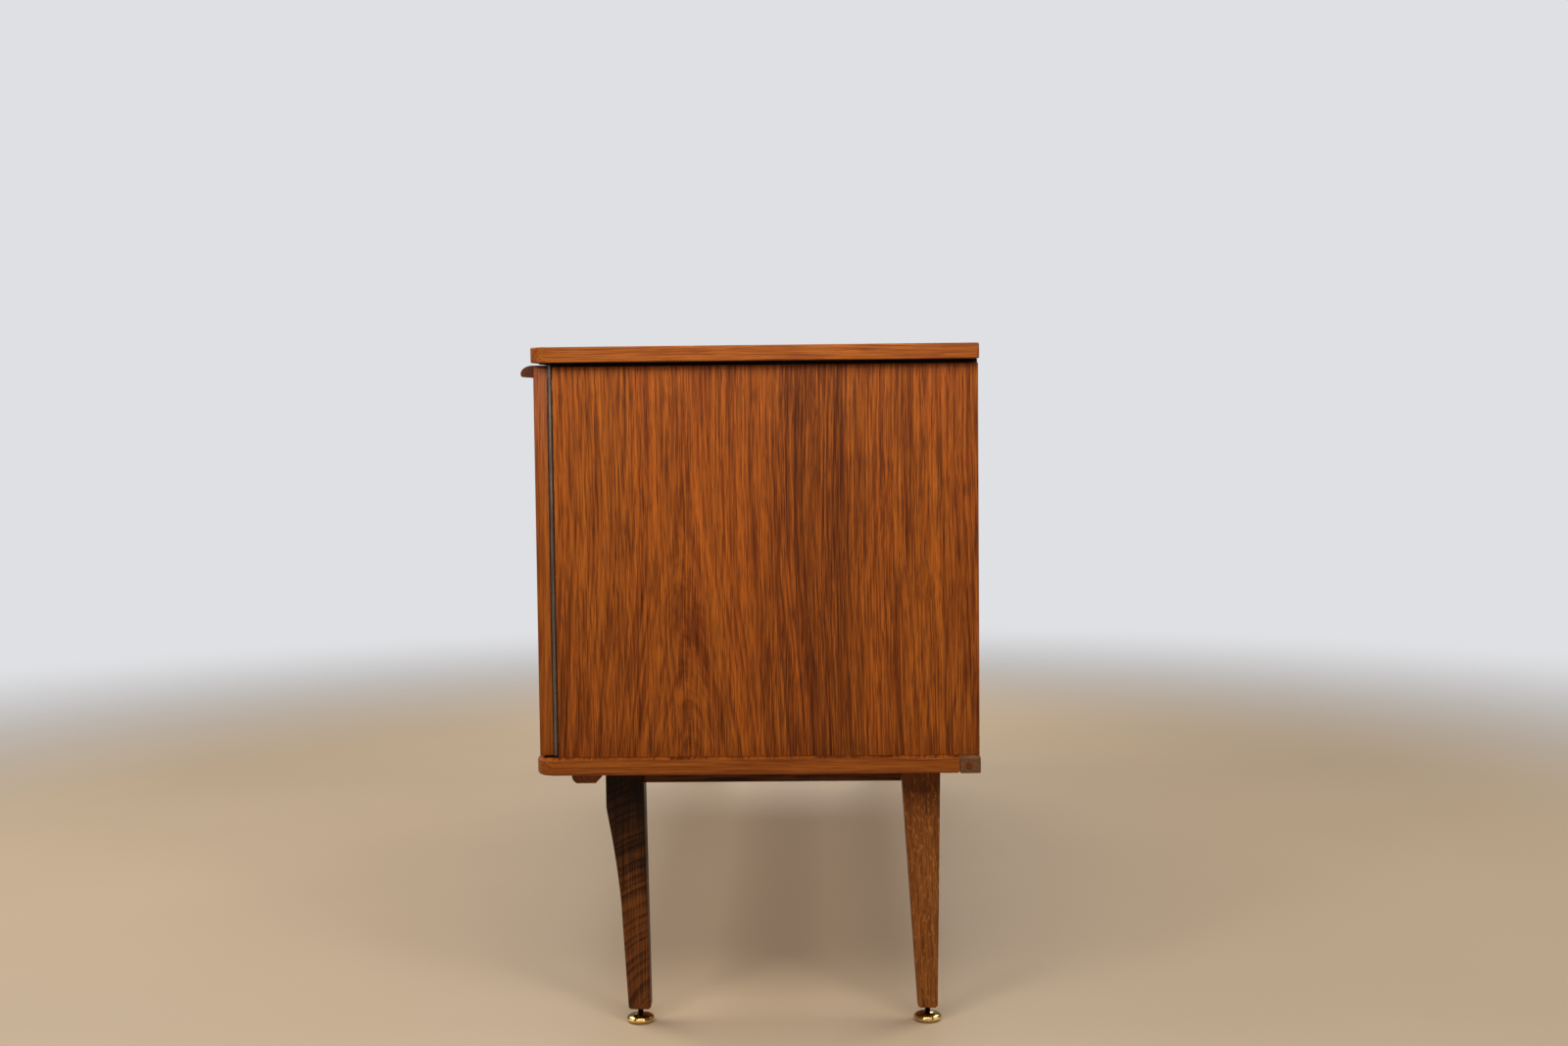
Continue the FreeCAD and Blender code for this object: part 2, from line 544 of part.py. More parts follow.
def front_under_rail(holes):
    """Long rail under the front of the base: rounded in front, with a flat bevel behind."""
    y0 = Y_BOARD_FRONT + UNDER_RAIL_SETBACK
    y1 = y0 + UNDER_RAIL_WIDTH
    z_low = BASE_UNDERSIDE - UNDER_RAIL_DEPTH
    z_cheek = BASE_UNDERSIDE - UNDER_RAIL_CHEEK
    flat0 = y0 + UNDER_RAIL_FLAT_START
    flat1 = flat0 + UNDER_RAIL_FLAT
    edges = [straight(vec(0, y1, BASE_UNDERSIDE), vec(0, y0, BASE_UNDERSIDE)),
             straight(vec(0, y0, BASE_UNDERSIDE), vec(0, y0, z_cheek)),
             quarter_round(vec(0, y0, z_cheek), vec(0, y0, z_low), vec(0, flat0, z_low)),
             straight(vec(0, flat0, z_low), vec(0, flat1, z_low)),
             straight(vec(0, flat1, z_low), vec(0, y1, z_low + UNDER_RAIL_BEVEL)),
             straight(vec(0, y1, z_low + UNDER_RAIL_BEVEL), vec(0, y1, BASE_UNDERSIDE))]
    x = X_END - UNDER_RAIL_END_INSET
    return cut_all(profile_along_x(-x, x, Part.Wire(edges)), holes)


# ---- Doors, drawer fronts, handles and hinges ----------------------------------------------
def front_panel(x0, x1, z0, z1, holes=()):
    """A door or drawer front, with its face edges rounded."""
    panel = block(x0, x1, Y_FRONT, Y_FRONT_BACK, z0, z1)
    face_edges = edges_where(panel, lambda p: abs(p.y - Y_FRONT) < 0.1)
    lower = [e for e in face_edges if e.CenterOfMass.z < z1 - 1]
    return cut_all(panel.makeFillet(FRONT_ARRIS, lower), list(holes))


def lip_handle(x0, x1, z_top):
    """Hardwood lip along the top of a front: a rounded back that falls to a thin nose."""
    nose = vec(0, Y_FRONT - HANDLE_REACH, z_top - HANDLE_DROP)
    root_top = vec(0, Y_FRONT, z_top)
    root_low = vec(0, Y_FRONT, z_top - HANDLE_HEIGHT)
    corner = vec(0, nose.y + HANDLE_NOSE, root_low.z + HANDLE_RISE)
    edges = [quarter_round(root_top, vec(0, nose.y, z_top), nose),
             quarter_round(nose, vec(0, nose.y, corner.z), corner),
             straight(corner, root_low),
             straight(root_low, root_top)]
    return profile_along_x(x0, x1, Part.Wire(edges))


def hinge_pin():
    length = Z_FRONTS_TOP - Z_FRONTS + PIN_PROUD
    return Part.makeCylinder(PIN_RADIUS, length, vec(X_SIDE, Y_HINGE, Z_FRONTS), UP)


def hinge_leaf(y0, y1, bore, first, holes):
    """Right-hand leaf between y0 and y1, with every second knuckle of the barrel from `first` on."""
    pitch = (Z_FRONTS_TOP - Z_FRONTS) / KNUCKLES
    notch = X_SIDE - BARREL_RADIUS - LEAF_CLEARANCE
    pieces = [block(X_SIDE - LEAF_WIDTH, notch, y0, y1, Z_FRONTS, Z_FRONTS_TOP)]
    bores = []
    for i in range(first, KNUCKLES, 2):
        low = Z_FRONTS + i * pitch + KNUCKLE_GAP / 2
        tall = pitch - KNUCKLE_GAP
        middle = vec(X_SIDE, Y_HINGE, low)
        pieces.append(block(notch, X_SIDE, y0, y1, low, low + tall))
        pieces.append(Part.makeCylinder(BARREL_RADIUS, tall, middle, UP))
        bores.append(Part.makeCylinder(bore, tall, middle, UP))
    leaf = pieces[0].multiFuse(pieces[1:])
    return cut_all(leaf, bores + holes).removeSplitter()


def catch_plate():
    """Steel plate on the back of the right-hand door that meets the magnet."""
    x0 = X_PARTITION_OUTER + CATCH_FROM_PARTITION
    return block(x0, x0 + CATCH_WIDTH, Y_FRONT_BACK, Y_FRONT_BACK + CATCH_PLATE_THICKNESS,
                 Z_INNER_TOP - CATCH_HEIGHT, Z_INNER_TOP)


# ---- Drawer boxes --------------------------------------------------------------------------
def drawer_bottom(drawer):
    """Height of the lower edge of a drawer front, counted from the lowest drawer."""
    return Z_FRONTS + drawer * (DRAWER_FRONT_HEIGHT + FRONT_GAP)


def drawer_side(drawer, grooves):
    """Right-hand side of a drawer box, grooved for its runner and its bottom."""
    x1 = X_PARTITION - DRAWER_CLEARANCE
    z0 = drawer_bottom(drawer) + DRAWER_BOX_LIFT
    middle = runner_middle(drawer)
    half = RUNNER_HEIGHT / 2 + RUNNER_CLEARANCE
    side = block(x1 - DRAWER_SIDE, x1, Y_FRONT_BACK, Y_BOX_REAR, z0, z0 + DRAWER_BOX_HEIGHT)
    track = block(X_PARTITION - RUNNER_REACH - RUNNER_END_CLEARANCE, x1,
                  Y_PANEL, Y_BOX_REAR, middle - half, middle + half)
    return cut_all(side, [track] + grooves)


def drawer_back(drawer):
    x = X_PARTITION - DRAWER_CLEARANCE - DRAWER_SIDE
    z0 = drawer_bottom(drawer) + DRAWER_BOX_LIFT
    return block(-x, x, Y_BOX_REAR - DRAWER_BACK, Y_BOX_REAR,
                 z0 + DRAWER_BOTTOM_LIFT + DRAWER_BOTTOM, z0 + DRAWER_BOX_HEIGHT)


def drawer_bottom_panel(drawer, slack=0.0):
    """Plywood bottom, or with slack the groove that it needs."""
    x = X_PARTITION - DRAWER_CLEARANCE - DRAWER_SIDE + DRAWER_BOTTOM_HOLD
    z0 = drawer_bottom(drawer) + DRAWER_BOX_LIFT + DRAWER_BOTTOM_LIFT
    y0 = Y_FRONT_BACK - DRAWER_BOTTOM_HOLD
    return block(-x - slack, x + slack, y0 - slack, Y_BOX_REAR, z0, z0 + DRAWER_BOTTOM)


# ---- Make every piece ----------------------------------------------------------------------
parts = {}

dowels = dowels_in_carcass()
top_screws, top_holes = screw_set(RAIL_SCREW, PANEL_THICKNESS + SHADOW_GAP + TOP_SCREW_HOLD,
                                  top_screw_places(), UP)
back_screws, back_holes = screw_set(BACK_SCREW, BACK_THICKNESS + BACK_SCREW_HOLD,
                                    back_screw_places(), FORWARD)
leg_screws, leg_holes = screw_set(FRAME_SCREW, BASE_THICKNESS + FRAME_SCREW_HOLD,
                                  frame_screw_places(), DOWN)
rail_screws, rail_holes = screw_set(RAIL_SCREW, END_RAIL_DEPTH + RAIL_SCREW_HOLD,
                                    end_rail_screw_places(), UP)
under_screws, under_holes = screw_set(RAIL_SCREW, UNDER_RAIL_DEPTH + RAIL_SCREW_HOLD,
                                      under_rail_screw_places(), UP)
side_leaf_face = Y_PANEL - LEAF_THICKNESS
door_leaf_face = Y_FRONT_BACK + LEAF_THICKNESS
leaf_screw = LEAF_THICKNESS + LEAF_SCREW_HOLD
side_leaf_screws, side_leaf_holes = screw_set(LEAF_SCREW, leaf_screw,
                                              leaf_screw_places(side_leaf_face), BACKWARD)
door_leaf_screws, door_leaf_holes = screw_set(LEAF_SCREW, leaf_screw,
                                              leaf_screw_places(door_leaf_face), FORWARD)
frame_holes = [hole for h in leg_holes + rail_holes for hole in pair(h)] + under_holes
shelf_pins = shelf_pins_right()
plugs = pair(lipping_plug())

parts["top_board"] = [top_board(top_holes)]
parts["spacer_strips"] = spacer_strips(top_holes)
parts["carcass_top"] = [inner_top(dowels + top_holes + back_holes)]
parts["base_board"] = [base_board(dowels + frame_holes)]
parts["base_rear_lipping"] = [base_rear_lipping(plugs)]
parts["lipping_plugs"] = plugs
parts["back_panel"] = [back_panel(back_holes)]
parts["carcass_dowels"] = dowels
parts["top_screws"] = top_screws
parts["back_panel_screws"] = back_screws
parts["frame_screws"] = [s for one in leg_screws + rail_screws for s in pair(one)] + under_screws
parts["shelf_pins"] = [pin for one in shelf_pins for pin in pair(one)]
parts["magnetic_catches"] = pair(magnetic_catch())
parts["hinge_pins"] = pair(hinge_pin())
parts["hinge_screws"] = [s for one in side_leaf_screws for s in pair(one)]
parts["front_under_rail"] = [front_under_rail(under_holes)]

right_side = side_panel(dowels + shelf_pins + side_leaf_holes)
right_partition = partition(dowels + shelf_pins + back_holes)
side_leaf = hinge_leaf(side_leaf_face, Y_PANEL, PIN_RADIUS, 0, side_leaf_holes)
feet = foot_places()
front_right_leg = front_leg().cut(socket_hole(*feet[0]))
rear_right_leg = rear_leg().cut(socket_hole(*feet[1]))
front_right_leg = cut_all(front_right_leg, leg_holes)
rear_right_leg = cut_all(rear_right_leg, leg_holes)
rail = end_rail([front_right_leg, rear_right_leg], rail_holes)
parts["end_rails"] = pair(rail)
parts["foot_sockets"] = [s for place in feet for s in pair(foot_socket(*place))]
for name, shape in (("side_panel", right_side), ("partition", right_partition), ("shelf", shelf()),
                    ("hinge_leaf_side", side_leaf), ("leg_front", front_right_leg),
                    ("leg_rear", rear_right_leg)):
    parts[name + "_right"] = [shape]
    parts[name + "_left"] = [mirrored(shape)]

all_runners = []
for drawer in range(DRAWERS):
    name = ("drawer_lower", "drawer_middle", "drawer_upper")[drawer]
    z0 = drawer_bottom(drawer)
    z1 = z0 + DRAWER_FRONT_HEIGHT
    groove = drawer_bottom_panel(drawer, GROOVE_CLEARANCE)
    parts[name + "_front"] = [front_panel(-X_DRAWER_FRONT, X_DRAWER_FRONT, z0, z1, [groove])]
    parts[name + "_handle"] = [lip_handle(-X_DRAWER_FRONT, X_DRAWER_FRONT, z1)]
    parts[name + "_sides"] = pair(drawer_side(drawer, [groove]))
    parts[name + "_back"] = [drawer_back(drawer)]
    parts[name + "_bottom"] = [drawer_bottom_panel(drawer)]
    all_runners += pair(runner(drawer))
parts["drawer_runners"] = all_runners

door = front_panel(X_DOOR_INNER, X_FRONTS, Z_FRONTS, Z_FRONTS_TOP, door_leaf_holes)
door_leaf = hinge_leaf(Y_FRONT_BACK, door_leaf_face, PIN_RADIUS + PIN_CLEARANCE, 1, door_leaf_holes)
for name, shape in (("", door), ("_handle", lip_handle(X_DOOR_INNER, X_FRONTS, Z_FRONTS_TOP)),
                    ("_hinge_leaf", door_leaf), ("_catch_plate", catch_plate())):
    parts["door_right" + name] = [shape]
    parts["door_left" + name] = [mirrored(shape)]
parts["door_right_hinge_screws"] = door_leaf_screws
parts["door_left_hinge_screws"] = [mirrored(s) for s in door_leaf_screws]

for name, (x, y) in zip(("front", "rear"), feet):
    foot = levelling_foot(x, y)
    parts["foot_" + name + "_right"] = [foot]
    parts["foot_" + name + "_left"] = [mirrored(foot)]

os.makedirs("parts", exist_ok=True)
for name, solids in parts.items():
    shape = solids[0] if len(solids) == 1 else Part.makeCompound(solids)
    shape.exportStep("parts/" + name + ".step")
    print(name, len(shape.Solids), "solids", round(shape.Volume / 1000, 1), "cm3", shape.isValid())
print(len(parts), "nodes")
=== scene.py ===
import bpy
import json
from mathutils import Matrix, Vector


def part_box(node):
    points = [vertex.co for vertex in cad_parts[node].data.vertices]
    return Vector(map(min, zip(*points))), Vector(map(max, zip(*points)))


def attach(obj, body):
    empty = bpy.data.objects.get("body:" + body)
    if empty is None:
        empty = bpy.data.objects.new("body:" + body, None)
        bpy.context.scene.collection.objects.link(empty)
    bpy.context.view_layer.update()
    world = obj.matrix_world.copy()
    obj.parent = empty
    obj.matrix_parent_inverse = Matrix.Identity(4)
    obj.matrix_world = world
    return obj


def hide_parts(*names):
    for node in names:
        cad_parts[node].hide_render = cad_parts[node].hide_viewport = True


bl_info = {
    "name": "Teak sideboard buffet",
    "version": (1, 0, 0),
    "blender": (4, 5, 0),
    "location": "View3D > Sidebar > Sideboard",
    "description": "Builds a teak sideboard with two doors and three drawers around its packed CAD frame",
    "category": "Add Mesh",
}

import json
import math

import bpy
import numpy as np
from bpy.props import FloatProperty, FloatVectorProperty, IntProperty, PointerProperty
from mathutils import Matrix, Vector

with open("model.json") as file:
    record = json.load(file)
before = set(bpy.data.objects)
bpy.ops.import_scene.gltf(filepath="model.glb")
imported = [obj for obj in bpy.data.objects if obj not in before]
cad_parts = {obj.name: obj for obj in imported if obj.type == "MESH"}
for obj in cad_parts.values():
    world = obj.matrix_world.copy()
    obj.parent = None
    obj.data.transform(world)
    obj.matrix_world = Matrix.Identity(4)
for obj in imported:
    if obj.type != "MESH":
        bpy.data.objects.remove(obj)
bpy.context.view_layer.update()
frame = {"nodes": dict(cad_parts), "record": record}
RECORD = frame["record"]
BODY_OF = {node: body for body, members in RECORD["behaviour"]["bodies"].items() for node in members}

MM = 0.001
SIDES = ("right", "left")
DRAWERS = ("drawer_lower", "drawer_middle", "drawer_upper")
HOLD = 0.25 * MM          # narrow flat strip beside a rounding, which keeps the big faces flat to the eye
HAIR = 0.03 * MM          # a screw head stands this little above the face that it is sunk in
CREASE = math.radians(38)
ACROSS = {0: (1, 2, 0), 1: (0, 2, 1), 2: (0, 1, 2)}    # thickness axis to width, height and thickness axes
PLAIN = (0, 0, 0, 0)      # a board whose four edges are of the same material as its faces

# Camera, in metres and degrees.
CAMERA_PLACE = (2.8454, 0.0696, 0.6759)
CAMERA_DOWN, CAMERA_YAW, CAMERA_ROLL = 3.784, 0.952, -0.607
CAMERA_LENS = 46.6        # mm, on a sensor 36 mm wide

# Each lamp: its name, place, the point it looks at, its two sides (all in metres) and its power in watts.
LAMPS = (
    ("key_right", (2.45, -1.1, 1.75), (0.6, 0, 0.15), (0.35, 0.35), 6.5),
    ("key_left", (2.45, 1.1, 1.75), (0.6, 0, 0.15), (0.35, 0.35), 6.5),
    ("over_right_end", (1.35, 0.0, 1.1), (0.76, 0, 0.62), (0.9, 0.4), 7.2),
    ("over_left_end", (-1.7, 0.0, 1.2), (-0.76, 0, 0.5), (1.0, 0.6), 11.0),
    ("over_front", (0.0, -1.5, 1.7), (0, -0.23, 0.4), (1.8, 0.8), 30.0),
    ("over_back", (0.0, 1.5, 1.7), (0, 0.23, 0.4), (1.8, 0.8), 22.0))
FLOOR_RINGS = (0.01, 1, 2, 3, 4.5, 6.5, 9)      # radii of the floor's rings, in metres
FLOOR_FADE = (1.15, 3.0)                        # the floor thins out to nothing between these radii
WORLD_LIGHT = 0.2         # share of the surroundings' brightness that lights the sideboard

# Patterns of the wood in marks per metre, across the grain twice and then along it. The comments give the
# real marks that these come from, width by length in mm.
WANDER = (8, 8, 2.2)            # slow sideways bends of the fibres, 125 by 450
BUNDLES = (700, 700, 15)        # fibre bundles, 1.4 by 67
PORES = (1150, 1150, 44)        # open pores, drawn 0.9 by 23
PATCHES = (24, 24, 2.4)         # broad patches of another tone, 42 by 420
RAYS = (430, 430, 150)          # pale ray flecks, 2.3 by 6.7
STREAKS_OUT, STREAKS_ACROSS, STREAKS_ALONG = 150.0, 16.0, 1.8    # streaks 6.7 deep, 62 across, 560 along
WANDER_REACH = 16 * MM          # how far the fibres bend
UNEVEN_YEARS = 0.37             # the years grow wider or narrower about once in three rings
PORE_RELIEF = 0.12 * MM
RUDDY = (0.95, 0.62, 0.62, 1)   # what the reddish patches do to the colour under them


def linear(code):
    """An sRGB hex colour as the linear red, green and blue that Blender works in."""
    values = [int(code[i:i + 2], 16) / 255 for i in (1, 3, 5)]
    return tuple(v / 12.92 if v <= 0.04045 else ((v + 0.055) / 1.055) ** 2.4 for v in values)


def span(*nodes):
    """Lowest and highest corner that several CAD nodes reach together, in metres."""
    corners = np.array([[tuple(c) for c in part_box(n)] for n in nodes])
    return corners[:, 0].min(0), corners[:, 1].max(0)


# ---- Sizes and colours that a user would change --------------------------------------------
def length(name, description, millimetres):
    return FloatProperty(name=name, description=description, default=millimetres * MM, min=0.0,
                         unit="LENGTH", precision=4)


def colour(name, description, code):
    return FloatVectorProperty(name=name, description=description, default=linear(code), size=3,
                               min=0.0, max=1.0, subtype="COLOR")


class SideboardShapes(bpy.types.PropertyGroup):
    """Roundings and small sizes that finish the boards, legs and metal parts."""
    corner_radius: length("Board corners", "Radius of the front corners of the top and the base", 20.0)
    top_arris: length("Top board arris", "Rounding along the edges of the top board", 1.5)
    base_arris: length("Base board arris", "Rounding along the lower edge of the base board", 4.0)
    front_arris: length("Front arris", "Rounding round the face of a door or a drawer front", 1.2)
    leg_arris: length("Leg arris", "Rounding of the long edges of a leg", 2.5)
    thread_pitch: length("Foot thread", "Distance from one thread to the next on a foot's stud", 1.0)
    knuckles: IntProperty(name="Hinge knuckles", default=31, min=3,
                          description="Knuckles in one piano hinge, both leaves together")


class SideboardColours(bpy.types.PropertyGroup):
    """Dark and light end of each finish, and the plain colours."""
    veneer_dark: colour("Veneer, dark", "Dark streaks of the teak veneer", "#4c2006")
    veneer_light: colour("Veneer, light", "Bright bands of the teak veneer", "#b4611c")
    edge_dark: colour("Edge, dark", "Dark streaks of the board edges", "#60290a")
    edge_light: colour("Edge, light", "Bright bands of the board edges", "#ad6220")
    lipping_dark: colour("Rear lipping, dark", "Late wood of the stained rear lipping", "#47301c")
    lipping_light: colour("Rear lipping, light", "Early wood of the stained rear lipping", "#80583a")
    plug_dark: colour("Plug, dark", "Late wood of the lipping plug", "#4a2008")
    plug_light: colour("Plug, light", "Early wood of the lipping plug", "#85481c")
    handle_dark: colour("Handle, dark", "Late wood of the lip handles", "#2e160d")
    handle_light: colour("Handle, light", "Early wood of the lip handles", "#6c3c26")
    front_leg_dark: colour("Front leg, dark", "Late wood of the front legs", "#1c0b02")
    front_leg_light: colour("Front leg, light", "Early wood of the front legs", "#7d451a")
    rear_leg_dark: colour("Rear leg, dark", "Late wood of the rear legs", "#5a2d0c")
    rear_leg_light: colour("Rear leg, light", "Early wood of the rear legs", "#a0622c")
    inner_dark: colour("Inside, dark", "Late wood of the panels and shelves inside", "#7c4f2a")
    inner_light: colour("Inside, light", "Early wood of the panels and shelves inside", "#b98552")
    drawer_dark: colour("Drawer box, dark", "Late wood of the drawer boxes", "#a77c4b")
    drawer_light: colour("Drawer box, light", "Early wood of the drawer boxes", "#d6b281")
    brass: colour("Brass", "Polished brass of the levelling feet", "#e3c078")
    hinge: colour("Hinge steel", "Rolled steel strip of the piano hinges", "#988c80")
    stud: colour("Stud steel", "Blackened steel of the feet's threaded studs", "#3b342b")
    zinc: colour("Zinc", "Zinc plating of the screws and sockets", "#bbb7ae")
    floor: colour("Floor", "Plain studio floor", "#c5b094")
    wall: colour("Surroundings", "Even light that surrounds the sideboard", "#dfe0e3")


# ---- Surfaces ------------------------------------------------------------------------------
def quarter(start, corner, end, steps):
    """Quarter of an ellipse in a plane, which leaves start towards the corner and reaches end from it.
    Each point is the ellipse's centre plus the start arm times a cosine plus the end arm times a sine."""
    s, c, e = (np.asarray(p, float) for p in (start, corner, end))
    centre = s + e - c
    turn = np.linspace(0, np.pi / 2, steps + 1)[:, None]
    return centre + (s - centre) * np.cos(turn) + (e - centre) * np.sin(turn)


def rounded_rectangle(u0, u1, v0, v1, radii, steps):
    """Rectangles with rounded corners, one for each entry of the arrays: (rows, points, 2).
    Each corner is a quarter circle about a centre that stands its own radius inside both sides."""
    u0, u1, v0, v1 = np.broadcast_arrays(*(np.atleast_1d(np.asarray(a, float)) for a in (u0, u1, v0, v1)))
    radii = np.broadcast_to(radii, (len(u0), 4))
    turn = np.linspace(0, np.pi / 2, steps + 1)
    arcs = []
    corners = ((u0, 1, v0, 1), (u1, -1, v0, 1), (u1, -1, v1, -1), (u0, 1, v1, -1))
    for i, (u, du, v, dv) in enumerate(corners):
        r = radii[:, i, None]
        angle = turn + np.pi * (1 + i / 2)
        arcs.append(np.stack([u[:, None] + du * r + r * np.cos(angle),
                              v[:, None] + dv * r + r * np.sin(angle)], -1))
    return np.concatenate(arcs, 1)


def shell(rings, zones=0, caps=0):
    """Closed skin through a stack of closed rings, an array of (rows, points, 3).
    Four neighbouring grid points make a patch, and one flat face closes each end. The enclosed volume,
    a sum of triple products, tells whether the patches face outwards, and they are turned if not."""
    rows, points = rings.shape[:2]
    verts = rings.reshape(-1, 3)
    i, j = np.arange(rows - 1)[:, None] * points, np.arange(points)[None]
    ahead = (j + 1) % points
    quads = np.stack([i + j, i + ahead, i + points + ahead, i + points + j], -1).reshape(-1, 4)
    first, last = np.arange(points)[::-1], np.arange(points) + (rows - 1) * points
    local = verts - verts.mean(0)
    fans = [np.stack([np.full(points - 2, end[0]), end[1:-1], end[2:]], -1) for end in (first, last)]
    triangles = np.concatenate([quads[:, :3], quads[:, [0, 2, 3]], *fans])
    a, b, c = local[triangles].transpose(1, 0, 2)
    faces = quads.tolist() + [first.tolist(), last.tolist()]
    if np.einsum("ij,ij->", a, np.cross(b, c)) < 0:
        faces = [face[::-1] for face in faces]
    numbers = np.broadcast_to(zones, (rows - 1, points)).ravel().tolist() + [caps, caps]
    return verts, faces, numbers


def board(lo, hi, thin, corners=0.9, arris=(0.6, 0.6), edges=(1, 1, 1, 1), steps=2, turns=3):
    """Board with rounded corners and arrises, square to the axis `thin`. Corners and arrises are in mm.
    A section runs round the edge as inset and height: flat, quarter circle, flat, quarter circle, flat.
    Each of its points draws the whole outline once, moved inwards by the inset, and each corner radius
    shrinks by as much. Edges gives the material number of the four sides, and the faces are number 0."""
    u, v, w = ACROSS[thin]
    low, high = np.array(arris) * MM
    section = np.concatenate([
        [(low + HOLD, lo[w])], quarter((low, lo[w]), (0, lo[w]), (0, lo[w] + low), turns),
        [(0, lo[w] + low + HOLD), (0, hi[w] - high - HOLD)],
        quarter((0, hi[w] - high), (0, hi[w]), (high, hi[w]), turns), [(high + HOLD, hi[w])]])
    inset = section[:, 0]
    radii = np.maximum(np.broadcast_to(np.array(corners) * MM, 4) - inset[:, None], 0.05 * MM)
    outline = rounded_rectangle(lo[u] + inset, hi[u] - inset, lo[v] + inset, hi[v] - inset, radii, steps)
    rings = np.empty((*outline.shape[:2], 3))
    rings[..., (u, v)] = outline
    rings[..., w] = section[:, 1, None]
    zones = np.tile(np.repeat(edges, steps + 1), (len(section) - 1, 1))
    zones[[0, -1]] = 0
    return shell(rings, zones)


def carry(outline, start, end, along, ease=0.0, steps=3):
    """A closed outline carried in a straight line along an axis, with eased ends. The outline is given in
    the two other axes, in their order. At an end it is drawn in towards its middle by a quarter circle."""
    outline = np.asarray(outline, float)
    middle = (outline.min(0) + outline.max(0)) / 2
    size = (outline.max(0) - outline.min(0)) / 2
    inset, place = quarter((ease, 0), (0, 0), (0, ease), steps).T if ease else (np.zeros(1), np.zeros(1))
    inset = np.concatenate([inset, inset[::-1]])[:, None, None]
    place = np.concatenate([start + place, end - place[::-1]])
    others = [axis for axis in range(3) if axis != along]
    rings = np.empty((len(place), len(outline), 3))
    rings[..., others] = middle + (outline - middle) * (1 - inset / size)
    rings[..., along] = place[:, None]
    return shell(rings)


def turned(profile, x, y, points=48):
    """A profile of radius and height, carried round the upright line through x and y."""
    angle = np.linspace(0, 2 * np.pi, points, endpoint=False)
    radius, height = np.asarray(profile, float).T
    rings = np.stack([x + radius[:, None] * np.cos(angle), y + radius[:, None] * np.sin(angle),
                      np.repeat(height[:, None], points, 1)], -1)
    return shell(rings)


def mirrored(skin):
    """The same skin at the other end of the sideboard: x changes sign, and each face runs the other way."""
    verts, faces, zones = skin
    return verts * (-1, 1, 1), [face[::-1] for face in faces], zones


def both_ends(skin, side):
    """A skin that is drawn at the right-hand end, at the end that is asked for."""
    return skin if side == "right" else mirrored(skin)


def piece(node, skins, materials):
    """One object from closed skins, which stands for a CAD node, rides on its body and has its slot."""
    verts, faces, zones, flat, count = [], [], [], [], 0
    for points, polygons, numbers in skins:
        faces += [[count + k for k in face] for face in polygons]
        zones += numbers
        flat += [False] * (len(polygons) - 2) + [True, True]
        verts.append(points)
        count += len(points)
    mesh = bpy.data.meshes.new(node + "_detail")
    mesh.from_pydata(np.concatenate(verts).tolist(), [], faces)
    mesh.polygons.foreach_set("material_index", zones)
    mesh.polygons.foreach_set("use_smooth", [not f for f in flat])
    mesh.set_sharp_from_angle(angle=CREASE)
    for material in materials:
        mesh.materials.append(material)
    made = bpy.data.objects.new(mesh.name, mesh)
    bpy.context.scene.collection.objects.link(made)
    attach(made, BODY_OF[node])
    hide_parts(node)
    return made


# ---- Materials -----------------------------------------------------------------------------
def add(tree, kind, inputs, stops=(), **settings):
    """Adds a node with its settings, and links or sets its inputs. A node stands for its first output."""
    node = tree.nodes.new("ShaderNode" + kind)
    for key, value in settings.items():
        setattr(node, key, value)
    for key, value in inputs.items():
        value = value.outputs[0] if isinstance(value, bpy.types.Node) else value
        if isinstance(value, bpy.types.NodeSocket):
            tree.links.new(value, node.inputs[key])
        else:
            node.inputs[key].default_value = value
    for place, shade in stops:
        known = node.color_ramp.elements
        ends = {stops[0][0]: 0, stops[-1][0]: -1}
        element = known[ends[place]] if place in ends else known.new(place)
        element.position = place
        element.color = (*shade, 1) if np.ndim(shade) else (shade, shade, shade, 1)
    return node


def fresh(name):
    """An empty material with its output, and its node tree."""
    material = bpy.data.materials.new(name)
    material.use_nodes = True
    material.node_tree.nodes.clear()
    return material, material.node_tree


def once(make):
    """A material is made the first time that its name is asked for, and found after that."""
    def finish(name, *rest, **settings):
        return bpy.data.materials.get(name) or make(name, *rest, **settings)
    return finish


AXIS = {"x": Vector((1, 0, 0)), "y": Vector((0, 1, 0)), "z": Vector((0, 0, 1))}


